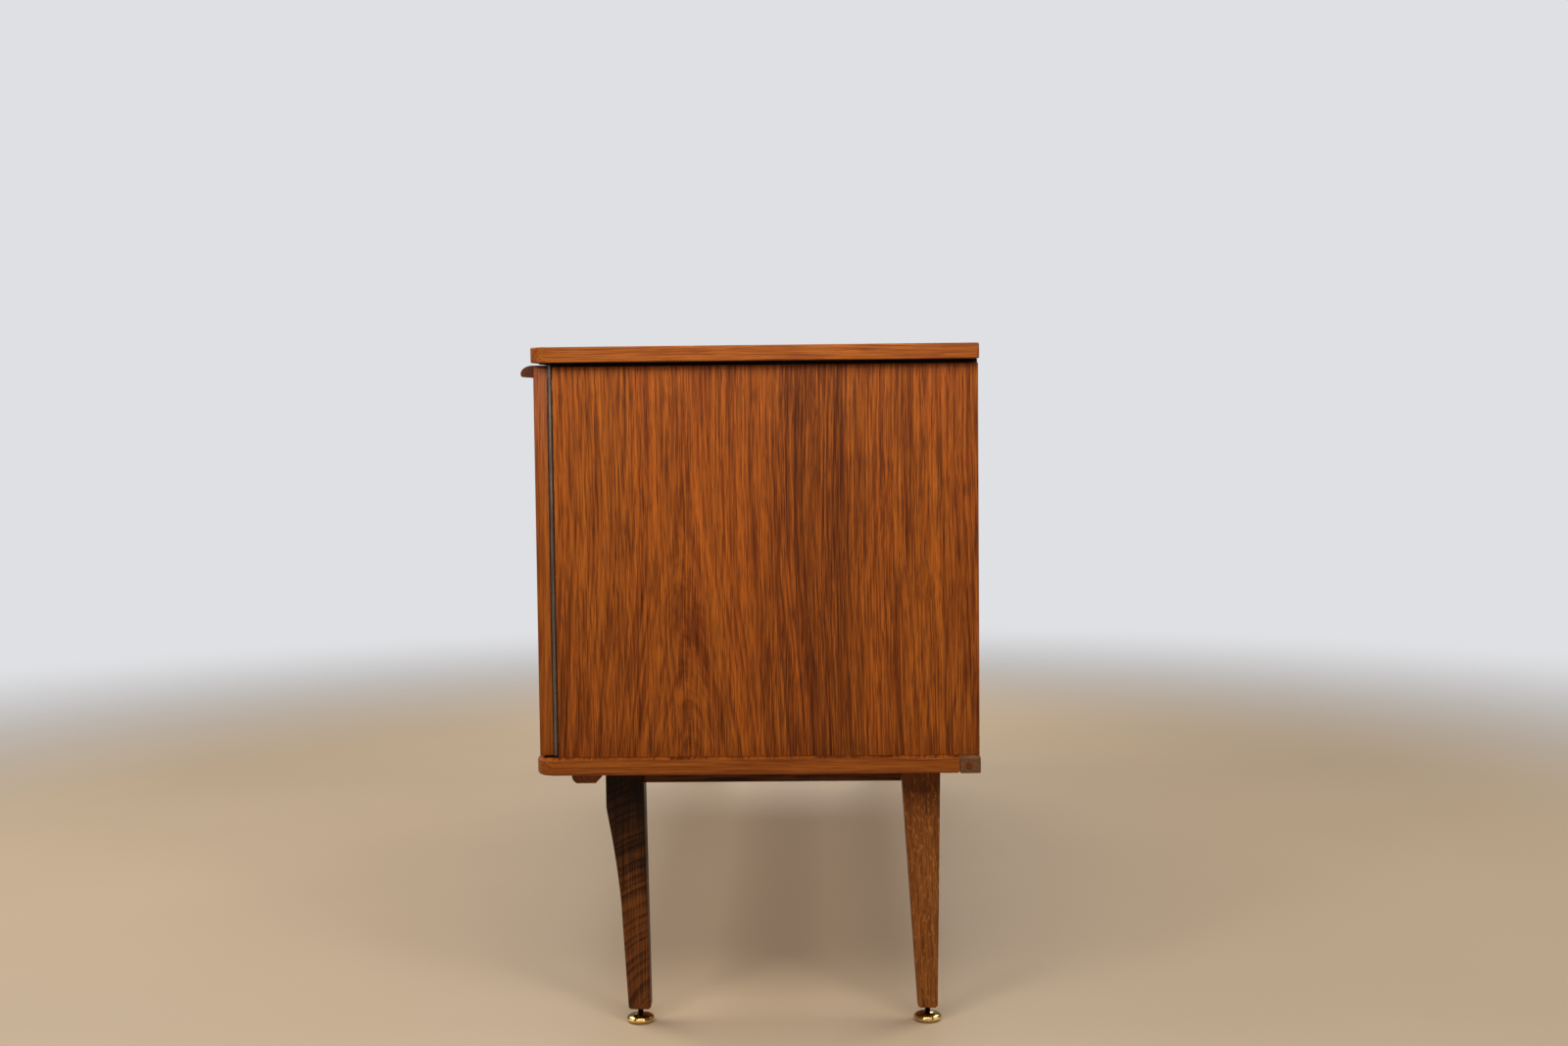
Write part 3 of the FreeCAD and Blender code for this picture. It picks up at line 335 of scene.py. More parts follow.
@once
def wood(name, tones, grain, across, start=(0, 0, 0), away=0.08, lean=0.02, ring=5.0, rings=0.5,
         streak=1.0, pores=0.5, mottle=0.3, red=0.3, bend=(-1.2, 1.2), stripe=None, stain=None, fleck=0.0,
         rough=0.45, shine=0.15):
    """Sawn or sliced wood, oiled and rubbed down to a satin.

    Its growth rings run round a pith line that leans `lean` against the board's grain between the two
    places `bend`, and passes `away` metres behind `start`, so the rings' cut through the face draws the
    tall arches and the straight lines beside them. The streaks are uneven years: noise over the distance
    from the pith, from 7 mm down to under 1 mm wide, which therefore follows the same arches. Noise pulled
    long along the grain gives the fibre bundles and the open pores, and broad noise the reddish patches.

    `ring` is the rings' spacing in mm. `rings`, `streak`, `pores`, `mottle`, `red` and `fleck` are the
    strengths of the rings, the streaks, the pores, the patches, their redness and the pale flecks that rays
    leave. `stripe` is the place and half width in metres, across the board, of one broad darker band, and
    its strength. `stain` is painted shade, not a stain in the wood: where along the grain the colour begins
    to darken, where it is darkest, and by how much, which paints the shadow that a board above casts.
    Teak's pores are 0.2 to 0.3 mm wide; they are drawn coarser here so that they show at the distance from
    which furniture is seen."""
    palette = bpy.context.scene.sideboard_colours
    dark, light = (np.array(getattr(palette, f"{tones}_{end}")) for end in ("dark", "light"))
    material, tree = fresh(name)
    g, a = AXIS[grain], AXIS[across]
    turn = Matrix((a.cross(g), a, g))
    where = add(tree, "TexCoord", {})
    local = add(tree, "Mapping", {"Vector": where.outputs["Object"], "Location": -(turn @ Vector(start)),
                                  "Rotation": turn.to_euler("XYZ")})
    # Fibres wander sideways by a few millimetres over a hand's breadth.
    slow = add(tree, "VectorMath", {0: local, 1: WANDER}, operation="MULTIPLY")
    wander = add(tree, "TexNoise", {"Vector": slow, "Scale": 1.0, "Detail": 2.0})
    fibre = add(tree, "VectorMath", {0: wander.outputs["Color"], 1: (WANDER_REACH, WANDER_REACH, 0),
                                     2: local}, operation="MULTIPLY_ADD")
    # Distance from the leaning pith, in metres.
    thread = add(tree, "SeparateXYZ", {"Vector": fibre})
    deep = add(tree, "MapRange", {"Value": thread.outputs["Z"], "From Min": bend[0], "From Max": bend[1],
                                  "To Min": away + lean * bend[0], "To Max": away + lean * bend[1]},
               interpolation_type="SMOOTHSTEP")
    behind = add(tree, "Math", {0: thread.outputs["X"], 1: deep}, operation="ADD")
    flat = add(tree, "CombineXYZ", {"X": behind, "Y": thread.outputs["Y"]})
    radius = add(tree, "VectorMath", {0: flat}, operation="LENGTH").outputs["Value"]
    # Growth rings, with uneven years: pale early wood that darkens into a thin line of late wood.
    per_metre = 1000 / ring
    years = add(tree, "TexNoise", {"W": radius, "Scale": UNEVEN_YEARS * per_metre, "Detail": 1.0},
                noise_dimensions="1D")
    count = add(tree, "Math", {0: radius, 1: per_metre}, operation="MULTIPLY")
    uneven = add(tree, "Math", {0: years, 1: 3.0, 2: count}, operation="MULTIPLY_ADD")
    season = add(tree, "Math", {0: uneven}, operation="FRACT")
    band = add(tree, "ValToRGB", {"Fac": season},
               stops=((0.0, 0.75), (0.45, 0.62), (0.86, 0.12), (1.0, 0.7)))
    # Streaks over the distance from the pith, which change slowly along and across the board.
    parts = add(tree, "SeparateXYZ", {"Vector": local})
    sideways = add(tree, "Math", {0: parts.outputs["Y"], 1: STREAKS_ACROSS}, operation="MULTIPLY")
    lengthways = add(tree, "Math", {0: parts.outputs["Z"], 1: STREAKS_ALONG}, operation="MULTIPLY")
    outwards = add(tree, "Math", {0: radius, 1: STREAKS_OUT}, operation="MULTIPLY")
    run = add(tree, "CombineXYZ", {"X": outwards, "Y": sideways, "Z": lengthways})
    streaks = add(tree, "TexNoise", {"Vector": run, "Scale": 1.0, "Detail": 4.0, "Roughness": 0.8})
    # Fibre bundles, a hand long.
    middle_way = add(tree, "VectorMath", {0: fibre, 1: BUNDLES}, operation="MULTIPLY")
    bundles = add(tree, "TexNoise", {"Vector": middle_way, "Scale": 1.0, "Detail": 2.0, "Roughness": 0.6})
    # Open pores: short dark dashes along the grain.
    short_way = add(tree, "VectorMath", {0: fibre, 1: PORES}, operation="MULTIPLY")
    dashes = add(tree, "TexNoise", {"Vector": short_way, "Scale": 1.0, "Detail": 1.0})
    pore = add(tree, "MapRange", {"Value": dashes, "From Min": 0.52, "From Max": 0.70})
    # Broad patches of another tone.
    wide_way = add(tree, "VectorMath", {0: fibre, 1: PATCHES}, operation="MULTIPLY")
    patches = add(tree, "TexNoise", {"Vector": wide_way, "Scale": 1.0, "Detail": 2.0})
    # The tone is the sum of the layers, each times its strength. Layers at their middle leave it at a half.
    layers = ((streaks, 1.15 * streak), (bundles, 1.3 * streak), (band, 0.6 * rings),
              (patches, 1.5 * mottle))
    tone = 0.5 - sum(strength for _, strength in layers) / 2
    for source, strength in layers:
        tone = add(tree, "Math", {0: source, 1: strength, 2: tone}, operation="MULTIPLY_ADD")
    if stripe:
        off = add(tree, "Math", {0: thread.outputs["Y"], 1: stripe[0]}, operation="SUBTRACT")
        off = add(tree, "Math", {0: off}, operation="ABSOLUTE")
        depth = add(tree, "MapRange", {"Value": off, "From Min": 0.0, "From Max": stripe[1],
                                       "To Min": stripe[2], "To Max": 0.0}, interpolation_type="SMOOTHSTEP")
        tone = add(tree, "Math", {0: tone, 1: depth}, operation="SUBTRACT")
    # Painted shade: the colour darkens further along the grain, standing in for the shadow under a board
    # above.
    if stain:
        painted_shade_depth = add(tree, "MapRange", {"Value": thread.outputs["Z"], "From Min": stain[0],
                                        "From Max": stain[1], "To Min": 0.0, "To Max": stain[2]},
                     interpolation_type="SMOOTHSTEP")
        tone = add(tree, "Math", {0: tone, 1: painted_shade_depth}, operation="SUBTRACT")
    middle = (dark * light) ** 0.5
    body = add(tree, "ValToRGB", {"Fac": tone},
               stops=((0.1, dark), (0.4, middle), (0.62, middle * 0.45 + light * 0.55), (0.92, light)))
    ruddy = add(tree, "MapRange", {"Value": patches.outputs["Color"], "From Min": 0.46, "From Max": 0.68,
                                   "To Max": red})
    warm = add(tree, "Mix", {0: ruddy, 6: body, 7: RUDDY}, data_type="RGBA", blend_type="MULTIPLY")
    shade = add(tree, "Math", {0: pore, 1: pores}, operation="MULTIPLY")
    skin = add(tree, "Mix", {0: shade, 6: warm.outputs[2], 7: (*dark * 0.6, 1)}, data_type="RGBA")
    if fleck:
        ray_way = add(tree, "VectorMath", {0: fibre, 1: RAYS}, operation="MULTIPLY")
        rays = add(tree, "TexNoise", {"Vector": ray_way, "Scale": 1.0, "Detail": 1.0})
        pale = add(tree, "MapRange", {"Value": rays, "From Min": 0.58, "From Max": 0.68, "To Max": fleck})
        skin = add(tree, "Mix", {0: pale, 6: skin.outputs[2], 7: (*light * 1.5, 1)}, data_type="RGBA")
    gloss = add(tree, "Math", {0: pore, 1: 0.18, 2: rough}, operation="MULTIPLY_ADD")
    relief = add(tree, "Math", {0: pore, 1: -0.8, 2: bundles}, operation="MULTIPLY_ADD")
    bump = add(tree, "Bump", {"Height": relief, "Strength": 0.4, "Distance": PORE_RELIEF})
    surface = add(tree, "BsdfPrincipled", {"Base Color": skin.outputs[2], "Roughness": gloss, "IOR": 1.5,
                                           "Specular IOR Level": shine, "Normal": bump})
    add(tree, "OutputMaterial", {"Surface": surface})
    return material


@once
def metal(name, tint, rough, marks, scale, dull=0.12):
    """Plated, rolled or polished metal. Noise pulled along `scale` gives the faint marks that the tools and
    fingers leave. They make it rougher by up to `marks`, and darker by up to `dull`. Scale is in marks per
    metre."""
    base = np.array(getattr(bpy.context.scene.sideboard_colours, tint))
    material, tree = fresh(name)
    where = add(tree, "TexCoord", {})
    pulled = add(tree, "VectorMath", {0: where.outputs["Object"], 1: scale}, operation="MULTIPLY")
    noise = add(tree, "TexNoise", {"Vector": pulled, "Scale": 1.0, "Detail": 4.0})
    shade = add(tree, "ValToRGB", {"Fac": noise}, stops=((0.35, base * (1 - dull)), (0.65, base)))
    gloss = add(tree, "MapRange", {"Value": noise, "From Min": 0.3, "From Max": 0.7,
                                   "To Min": rough, "To Max": rough + marks})
    bump = add(tree, "Bump", {"Height": noise, "Strength": 0.2, "Distance": 0.02 * MM})
    surface = add(tree, "BsdfPrincipled", {"Base Color": shade, "Metallic": 1.0, "Roughness": gloss,
                                           "Normal": bump})
    add(tree, "OutputMaterial", {"Surface": surface})
    return material


@once
def matt(name, dark, light, scale, rough):
    """Paint, stained wood or moulded plastic: two close colours in soft patches, and a fine uneven surface.
    Scale is in patches per metre, and the fine surface has a grain of about 1 mm."""
    material, tree = fresh(name)
    where = add(tree, "TexCoord", {})
    noise = add(tree, "TexNoise", {"Vector": where.outputs["Object"], "Scale": scale, "Detail": 3.0})
    fine = add(tree, "TexNoise", {"Vector": where.outputs["Object"], "Scale": 900.0, "Detail": 1.0})
    shade = add(tree, "ValToRGB", {"Fac": noise}, stops=((0.35, dark), (0.65, light)))
    gloss = add(tree, "MapRange", {"Value": noise, "From Min": 0.3, "From Max": 0.7,
                                   "To Min": rough, "To Max": rough + 0.1})
    bump = add(tree, "Bump", {"Height": fine, "Strength": 0.25, "Distance": 0.05 * MM})
    surface = add(tree, "BsdfPrincipled", {"Base Color": shade, "Roughness": gloss, "Normal": bump})
    add(tree, "OutputMaterial", {"Surface": surface})
    return material


def veneer(side):
    """Teak veneer, sliced, laid on board and oiled: upright arches low on each end panel."""
    lo, hi = span("side_panel_" + side)
    x = hi[0] if side == "right" else lo[0]
    middle, band = (-0.062, (0.135, 0.045, 0.16)) if side == "right" else (0.04, (-0.11, 0.045, 0.16))
    return wood("oiled_teak_veneer_end_" + side, "veneer", "z", "y", start=(x, middle, lo[2]), away=0.045,
                lean=0.09, ring=5.2, rings=0.3, bend=(-0.2, 0.28), mottle=0.25, pores=0.62, stripe=band)


def veneer_along():
    """Teak veneer with its grain along the length, on the top and the base: long even streaks."""
    lo, hi = span("top_board")
    return wood("oiled_teak_veneer_along", "veneer", "x", "y", start=(0.3, 0.05, hi[2]), away=0.06,
                lean=0.025, red=0.15)


def veneer_front(name, across, start):
    """Teak veneer of the fronts, upright on the doors and level on the drawers."""
    return wood("oiled_teak_veneer_" + name, "veneer", "z" if across == "x" else "x", across, start=start,
                away=0.05, lean=0.06)


def edge(grain):
    """Solid teak edging, planed and rubbed: lighter and plainer than the veneer, with fine level lines."""
    across = "z" if grain != "z" else "x"
    return wood("oiled_teak_edging_" + grain, "edge", grain, across, start=(1.0, 1.0, 0.5), away=0.2,
                lean=0.01, ring=3.0, rings=0.25, streak=0.8, pores=0.35, red=0.2, rough=0.4)


def inner(grain, across):
    """Mahogany veneer inside the cupboards, sealed and left unpolished."""
    return wood(f"sealed_inner_wood_{grain}_{across}", "inner", grain, across, start=(0, 0, 0), away=0.3,
                lean=0.03, ring=6.0, rings=0.35, pores=0.4, rough=0.5)


def box_wood(grain, across):
    """Beech of the drawer boxes, planed and waxed: pale, with short fine flecks."""
    return wood(f"waxed_beech_{grain}_{across}", "drawer", grain, across, start=(0, 0, 0), away=0.25,
                lean=0.02, ring=4.0, rings=0.3, streak=0.6, pores=0.25, red=0.1, rough=0.5)


# ---- One operator for each group of pieces --------------------------------------------------
class SIDEBOARD_OT_top(bpy.types.Operator):
    """Top board with rounded front corners"""
    bl_idname = "sideboard.top"
    bl_label = "Top board"

    def execute(self, context):
        shapes = context.scene.sideboard_shapes
        lo, hi = span("top_board")
        corner = shapes.corner_radius / MM
        skin = board(lo, hi, 2, corners=(corner, corner, 2.2, 2.2), arris=(shapes.top_arris / MM,) * 2,
                     edges=(1, 2, 1, 2), steps=10, turns=4)
        piece("top_board", [skin], [veneer_along(), edge("x"), edge("y")])
        return {"FINISHED"}


class SIDEBOARD_OT_base(bpy.types.Operator):
    """Base board, its solid rear lipping and the plugs in the lipping's ends"""
    bl_idname = "sideboard.base"
    bl_label = "Base board"

    def execute(self, context):
        shapes = context.scene.sideboard_shapes
        lo, hi = span("base_board")
        corner = shapes.corner_radius / MM
        skin = board(lo, hi - (0, 0, HAIR), 2, corners=(corner, corner, 0.9, 0.9),
                     arris=(shapes.base_arris / MM, 0.6), edges=(1, 2, 1, 2), steps=10, turns=5)
        piece("base_board", [skin], [veneer_along(), edge("x"), edge("y")])
        lo, hi = span("base_rear_lipping")
        # Stained hardwood: the rings of the end grain show on its two ends.
        stained = wood("stained_hardwood_lipping", "lipping", "x", "y", start=(0, 0.25, 0.30), away=0.03,
                       lean=0.0, ring=2.2, rings=0.8, streak=0.6, pores=0.5, rough=0.45)
        piece("base_rear_lipping", [board(lo, hi, 2, corners=1.6, arris=(1.2, 0.8), edges=PLAIN)],
              [stained])
        lo, hi = span("lipping_plugs")
        y, z = (lo[1] + hi[1]) / 2, (lo[2] + hi[2]) / 2
        radius, depth, proud = (hi[2] - lo[2]) / 2, 6 * MM, 0.25 * MM
        turn = np.linspace(0, 2 * np.pi, 40, endpoint=False)
        circle = np.stack([y + radius * np.cos(turn), z + radius * np.sin(turn)], -1)
        plug = carry(circle, hi[0] - depth, hi[0] + proud, 0, ease=0.5 * MM)
        # Turned hardwood plug: a warm disc with upright grain.
        warm = wood("oiled_hardwood_plug", "plug", "z", "y", start=(hi[0], 0.2, 0.2), away=0.05, ring=2.0,
                    rings=0.4)
        piece("lipping_plugs", [plug, mirrored(plug)], [warm])
        return {"FINISHED"}


class SIDEBOARD_OT_panels(bpy.types.Operator):
    """Side panels at the two ends"""
    bl_idname = "sideboard.panels"
    bl_label = "Side panels"

    def execute(self, context):
        for side in SIDES:
            lo, hi = span("side_panel_" + side)
            piece("side_panel_" + side, [board(lo, hi, 0)], [veneer(side), edge("z")])
        return {"FINISHED"}


class SIDEBOARD_OT_inner_boards(bpy.types.Operator):
    """Partitions, shelves, inner top and back panel"""
    bl_idname = "sideboard.inner_boards"
    bl_label = "Inner boards"

    def execute(self, context):
        for side in SIDES:
            piece("partition_" + side, [board(*span("partition_" + side), 0)], [inner("z", "y"), edge("z")])
            piece("shelf_" + side, [board(*span("shelf_" + side), 2)], [inner("x", "y"), edge("x")])
        lo, hi = span("carcass_top")
        piece("carcass_top", [board(lo + (0, 0, HAIR), hi, 2)], [inner("x", "y"), edge("x")])
        lo, hi = span("back_panel")
        # Beech-faced plywood, unpolished: broad level figure and no gloss.
        ply = wood("raw_plywood", "inner", "x", "z", start=(0, 0.24, 0.42), away=0.05, lean=0.05, ring=8.0,
                   rings=0.5, streak=0.7, pores=0.3, rough=0.62)
        piece("back_panel", [board(lo, hi - (0, HAIR, 0), 1, arris=(0.3, 0.3))], [ply, ply])
        return {"FINISHED"}


class SIDEBOARD_OT_doors(bpy.types.Operator):
    """The two doors"""
    bl_idname = "sideboard.doors"
    bl_label = "Doors"

    def execute(self, context):
        shapes = context.scene.sideboard_shapes
        for side in SIDES:
            lo, hi = span("door_" + side)
            start = (lo[0] * 0.55 + hi[0] * 0.45, lo[1], lo[2] - 0.02)
            face = veneer_front("door_" + side, "x", start)
            skin = board(lo, hi, 1, corners=1.8, arris=(shapes.front_arris / MM, 0.5))
            piece("door_" + side, [skin], [face, edge("z")])
        return {"FINISHED"}


class SIDEBOARD_OT_drawer_fronts(bpy.types.Operator):
    """The three drawer fronts"""
    bl_idname = "sideboard.drawer_fronts"
    bl_label = "Drawer fronts"

    def execute(self, context):
        shapes = context.scene.sideboard_shapes
        whole, _ = span(*(d + "_front" for d in DRAWERS))
        face = veneer_front("drawers", "z", (0.05, whole[1], whole[2] + 0.19))
        for drawer in DRAWERS:
            lo, hi = span(drawer + "_front")
            skin = board(lo, hi, 1, corners=1.8, arris=(shapes.front_arris / MM, 0.5))
            piece(drawer + "_front", [skin], [face, edge("x")])
        return {"FINISHED"}


class SIDEBOARD_OT_drawer_boxes(bpy.types.Operator):
    """Drawer sides with their runner grooves, backs, bottoms and the runners"""
    bl_idname = "sideboard.drawer_boxes"
    bl_label = "Drawer boxes"

    def execute(self, context):
        # A side is an upright strip with a square groove along its outer face and a rounded top. A runner
        # fills the groove but for a little play.
        thickness, groove, groove_half, rounding = 12.0 * MM, 6.8 * MM, 7.4 * MM, 2.0 * MM
        runner_half, runner_reach = 7 * MM, 7.4 * MM
        runners_lo, runners_hi = span("drawer_runners")
        runners = []
        for drawer in DRAWERS:
            lo, hi = span(drawer + "_sides")
            inside, outside, top, middle = hi[0] - thickness, hi[0], hi[2], (lo[2] + hi[2]) / 2
            outline = np.concatenate([
                [(inside, lo[2]), (outside, lo[2]), (outside, middle - groove_half),
                 (outside - groove, middle - groove_half), (outside - groove, middle + groove_half),
                 (outside, middle + groove_half)],
                quarter((outside, top - rounding), (outside, top), (outside - rounding, top), 3),
                quarter((inside + rounding, top), (inside, top), (inside, top - rounding), 3)])
            skin = carry(outline, lo[1], hi[1], 1)
            piece(drawer + "_sides", [skin, mirrored(skin)], [box_wood("y", "z")])
            low = np.array((runners_hi[0] - runner_reach, runners_lo[1], middle - runner_half))
            high = np.array((runners_hi[0], runners_hi[1], middle + runner_half))
            skin = board(low, high, 2, corners=1.4, arris=(0.8, 0.8), edges=PLAIN)
            runners += [skin, mirrored(skin)]
            lo, hi = span(drawer + "_back")
            piece(drawer + "_back", [board(lo, hi, 1, edges=PLAIN)], [box_wood("x", "z")])
            lo, hi = span(drawer + "_bottom")
            piece(drawer + "_bottom", [board(lo, hi, 2, arris=(0.3, 0.3), edges=PLAIN)],
                  [box_wood("x", "y")])
        piece("drawer_runners", runners, [box_wood("y", "z")])
        return {"FINISHED"}


class SIDEBOARD_OT_handles(bpy.types.Operator):
    """Lip handles along the top of every front"""
    bl_idname = "sideboard.handles"
    bl_label = "Lip handles"

    def execute(self, context):
        # Afrormosia, shaped, dark brown, with straight grain along its length and dull dark ends.
        dark = wood("oiled_afrormosia_handle", "handle", "x", "y", start=(0, -0.21, 0.5), away=0.04,
                    lean=0.01, ring=2.5, rings=0.5, streak=0.8, pores=0.4, red=0.15, rough=0.36)
        # The section is a flat back, a long quarter ellipse from the top down to the nose, and a short one
        # from the nose back to the underside.
        nose_below_top, underside_behind_nose, underside_rise = 8.5 * MM, 2.2 * MM, 0.9 * MM
        for front in ("door_right", "door_left", *DRAWERS):
            node = front + "_handle"
            lo, hi = span(node)
            nose = (lo[1], hi[2] - nose_below_top)
            foot = (lo[1] + underside_behind_nose, lo[2] + underside_rise)
            outline = np.concatenate([
                [(hi[1], lo[2]), (hi[1], hi[2])],
                quarter((hi[1], hi[2]), (nose[0], hi[2]), nose, 14)[1:],
                quarter(nose, (nose[0], foot[1]), foot, 5)[1:]])
            piece(node, [carry(outline, lo[0], hi[0], 0, ease=0.5 * MM)], [dark])
        return {"FINISHED"}


class SIDEBOARD_OT_hinges(bpy.types.Operator):
    """Piano hinges: leaves with rolled knuckles, and their pins"""
    bl_idname = "sideboard.hinges"
    bl_label = "Piano hinges"

    def execute(self, context):
        knuckles = context.scene.sideboard_shapes.knuckles
        # Rolled steel strip, dulled: long fine lines along the barrel.
        steel = metal("rolled_hinge_steel", "hinge", rough=0.3, marks=0.2, scale=(900, 900, 25), dull=0.3)
        # Drawn steel pin with a bright rounded end.
        bright = metal("bright_drawn_pin", "zinc", rough=0.32, marks=0.1, scale=(300, 300, 30))
        barrel, bore, gap, pin_radius = 2.0 * MM, 1.0 * MM, 0.3 * MM, 0.9 * MM
        near, far = 1.95 * MM, 2.75 * MM      # a leaf's two faces, in front of or behind the pin's axis
        arm_end, leaf_end = 2.6 * MM, 2.4 * MM
        pin_lo, pin_hi = span("hinge_pins")
        x, y = pin_hi[0] - pin_radius, (pin_lo[1] + pin_hi[1]) / 2
        leaf_lo, leaf_hi = span("hinge_leaf_side_right")
        z0, z1 = leaf_lo[2], leaf_hi[2]
        pitch = (z1 - z0) / knuckles
        # A knuckle's section is the strip's arm, an arc of the barrel's radius round the pin, and an arc of
        # the bore's radius back to the arm. The two leaves take every other knuckle, turned over.
        outer, inner_arc = (np.radians(np.linspace(*ends, 22)) for ends in ((85, -243), (-243, 98)))
        section = np.concatenate([
            [(-arm_end, far), (-pin_radius, far)],
            np.stack([np.cos(outer), np.sin(outer)], -1) * barrel,
            np.stack([np.cos(inner_arc), np.sin(inner_arc)], -1) * bore,
            [(-0.4 * MM, near), (-arm_end, near)]])
        for first, sign, name in ((0, 1, "hinge_leaf_side_{}"), (1, -1, "door_{}_hinge_leaf")):
            ring = section * (1, sign) + (x, y)
            skins = []
            for k in range(first, knuckles, 2):
                low = z0 + k * pitch + gap / 2
                skins.append(carry(ring, low, low + pitch - gap, 2))
            y0, y1 = sorted((y + sign * near, y + sign * far))
            lo = np.array((leaf_lo[0], y0 + (HAIR if sign > 0 else 0), z0))
            hi = np.array((x - leaf_end, y1 - (HAIR if sign < 0 else 0), z1))
            skins.append(board(lo, hi, 1, corners=0.6, arris=(0.15, 0.15), edges=PLAIN, turns=2))
            for side in SIDES:
                piece(name.format(side), [both_ends(skin, side) for skin in skins], [steel])
        # The pin's end is half a ball.
        top = pin_hi[2]
        ball = quarter((pin_radius, top - pin_radius), (pin_radius, top), (0.05 * MM, top), 5)
        pin = turned(np.concatenate([[(pin_radius, pin_lo[2])], ball]), x, y, points=20)
        piece("hinge_pins", [pin, mirrored(pin)], [bright])
        return {"FINISHED"}


class SIDEBOARD_OT_legs(bpy.types.Operator):
    """Tapered legs: the front ones with a kink and a hollow curve, the rear ones straight"""
    bl_idname = "sideboard.legs"
    bl_label = "Legs"

    def execute(self, context):
        radius = context.scene.sideboard_shapes.leg_arris
        # Dark stained hardwood, cut across its rings: slanting dark stripes on the front legs. Their upper
        # part is darkened by painted shade, the shadow of the base board above.
        front = wood("stained_hardwood_front_leg", "front_leg", "z", "y", start=(0.726, -0.10, 0.05),
                     away=0.05, lean=0.42, ring=6.5, rings=0.6, streak=0.7, pores=0.45, red=0.15,
                     bend=(-0.3, 0.5), stain=(0.06, 0.19, 0.42), rough=0.4)
        # Lighter stained hardwood, straight, with short pale flecks, and a little painted shade at the top,
        # under the base board.
        rear = wood("stained_hardwood_rear_leg", "rear_leg", "z", "y", start=(0.726, 0.05, 0.05), away=0.12,
                    lean=0.03, ring=4.0, rings=0.3, streak=0.8, pores=0.6, red=0.15, fleck=0.4,
                    stain=(0.13, 0.21, 0.2), rough=0.4)
        bevel, socket_radius, socket_depth = 2.0 * MM, 5.0 * MM, 27 * MM
        width, width_lost, splay = 36 * MM, 12 * MM, 3.7 * MM
        for which, finish in (("front", front), ("rear", rear)):
            lo, hi = span(f"leg_{which}_right")
            top, sole = hi[2], lo[2]
            height = np.concatenate([[sole], np.linspace(sole + bevel, top, 64)])
            down = (top - height) / (top - sole)
            middle_x = (lo[0] + hi[0]) / 2
            half = (width - width_lost * down) / 2
            if which == "front":
                # A shoulder down to the kink, a shallow parabola below it, and a straight run to the foot.
                shoulder, depth, foot_depth = lo[1], 40 * MM, 23.6 * MM
                kink, curve_end, cut_in, hollow = top - 42 * MM, top - 142 * MM, 13.9 * MM, 1.3 * MM
                rear_y = shoulder + depth + splay * down
                waist, foot_y = shoulder + cut_in, shoulder + depth + splay - foot_depth
                share = np.clip((kink - height) / (kink - curve_end), 0, 1)
                curve = shoulder + cut_in * share + 4 * hollow * share * (1 - share)
                straight = np.clip((curve_end - height) / (curve_end - sole), 0, 1)
                front_y = np.where(height < curve_end, waist + (foot_y - waist) * straight, curve)
            else:
                depth, foot_depth = 41.2 * MM, 21.0 * MM
                rear_y = hi[1] - splay * down
                front_y = hi[1] - depth + (depth - splay - foot_depth) * down
            inset = np.where(height == sole, bevel, 0.0)
            rings = rounded_rectangle(middle_x - half + inset, middle_x + half - inset, front_y + inset,
                                      rear_y - inset, (radius - inset * 0.8)[:, None], 5)
            # The sole closes in to the socket, and the socket's bore runs up into the leg.
            centre = np.array((middle_x, (front_y[0] + rear_y[0]) / 2))
            out = rings[0] - centre
            bore = centre + out / np.linalg.norm(out, axis=1, keepdims=True) * socket_radius
            flat = np.concatenate([[bore, bore], rings])
            heights = np.concatenate([[sole + socket_depth, sole], height])
            skin = shell(np.concatenate([flat, np.repeat(heights[:, None, None], flat.shape[1], 1)], -1))
            for side in SIDES:
                piece(f"leg_{which}_{side}", [both_ends(skin, side)], [finish])
        return {"FINISHED"}


class SIDEBOARD_OT_rails(bpy.types.Operator):
    """Cross rails between the legs of each end, and the long rail under the front"""
    bl_idname = "sideboard.rails"
    bl_label = "Rails"

    def execute(self, context):
        # Stained hardwood like the front legs, with its grain along each rail.
        cross = wood("stained_hardwood_cross_rail", "front_leg", "y", "z", start=(0.7, 0, 0.2), away=0.08,
                     ring=4.0, rings=0.5, rough=0.45)
        long_rail = wood("stained_hardwood_long_rail", "rear_leg", "x", "y", start=(0, -0.15, 0.2),
                         away=0.06, ring=3.0, rings=0.5, rough=0.42)
        lo, hi = span("end_rails")
        low, high = np.array((hi[0] - 20 * MM, lo[1], lo[2] + HAIR)), hi
        skin = board(low, high, 2, corners=0.9, arris=(0.6, 0.3), edges=PLAIN)
        piece("end_rails", [skin, mirrored(skin)], [cross])
        # The long rail's section: a quarter ellipse from its front face down to a flat underside, and a
        # bevel from there up to its rear face.
        lo, hi = span("front_under_rail")
        front, back, under, top = lo[1], hi[1], lo[2] + HAIR, hi[2]
        cheek, flat_start, flat_end, bevel = 2.5 * MM, front + 6.5 * MM, front + 25.2 * MM, 7 * MM
        outline = np.concatenate([
            [(back, top), (front, top)],
            quarter((front, top - cheek), (front, under), (flat_start, under), 10),
            [(flat_start + 1 * MM, under), (flat_end, under), (back, under + bevel)]])
        piece("front_under_rail", [carry(outline, lo[0], hi[0], 0, ease=0.6 * MM)], [long_rail])
        return {"FINISHED"}


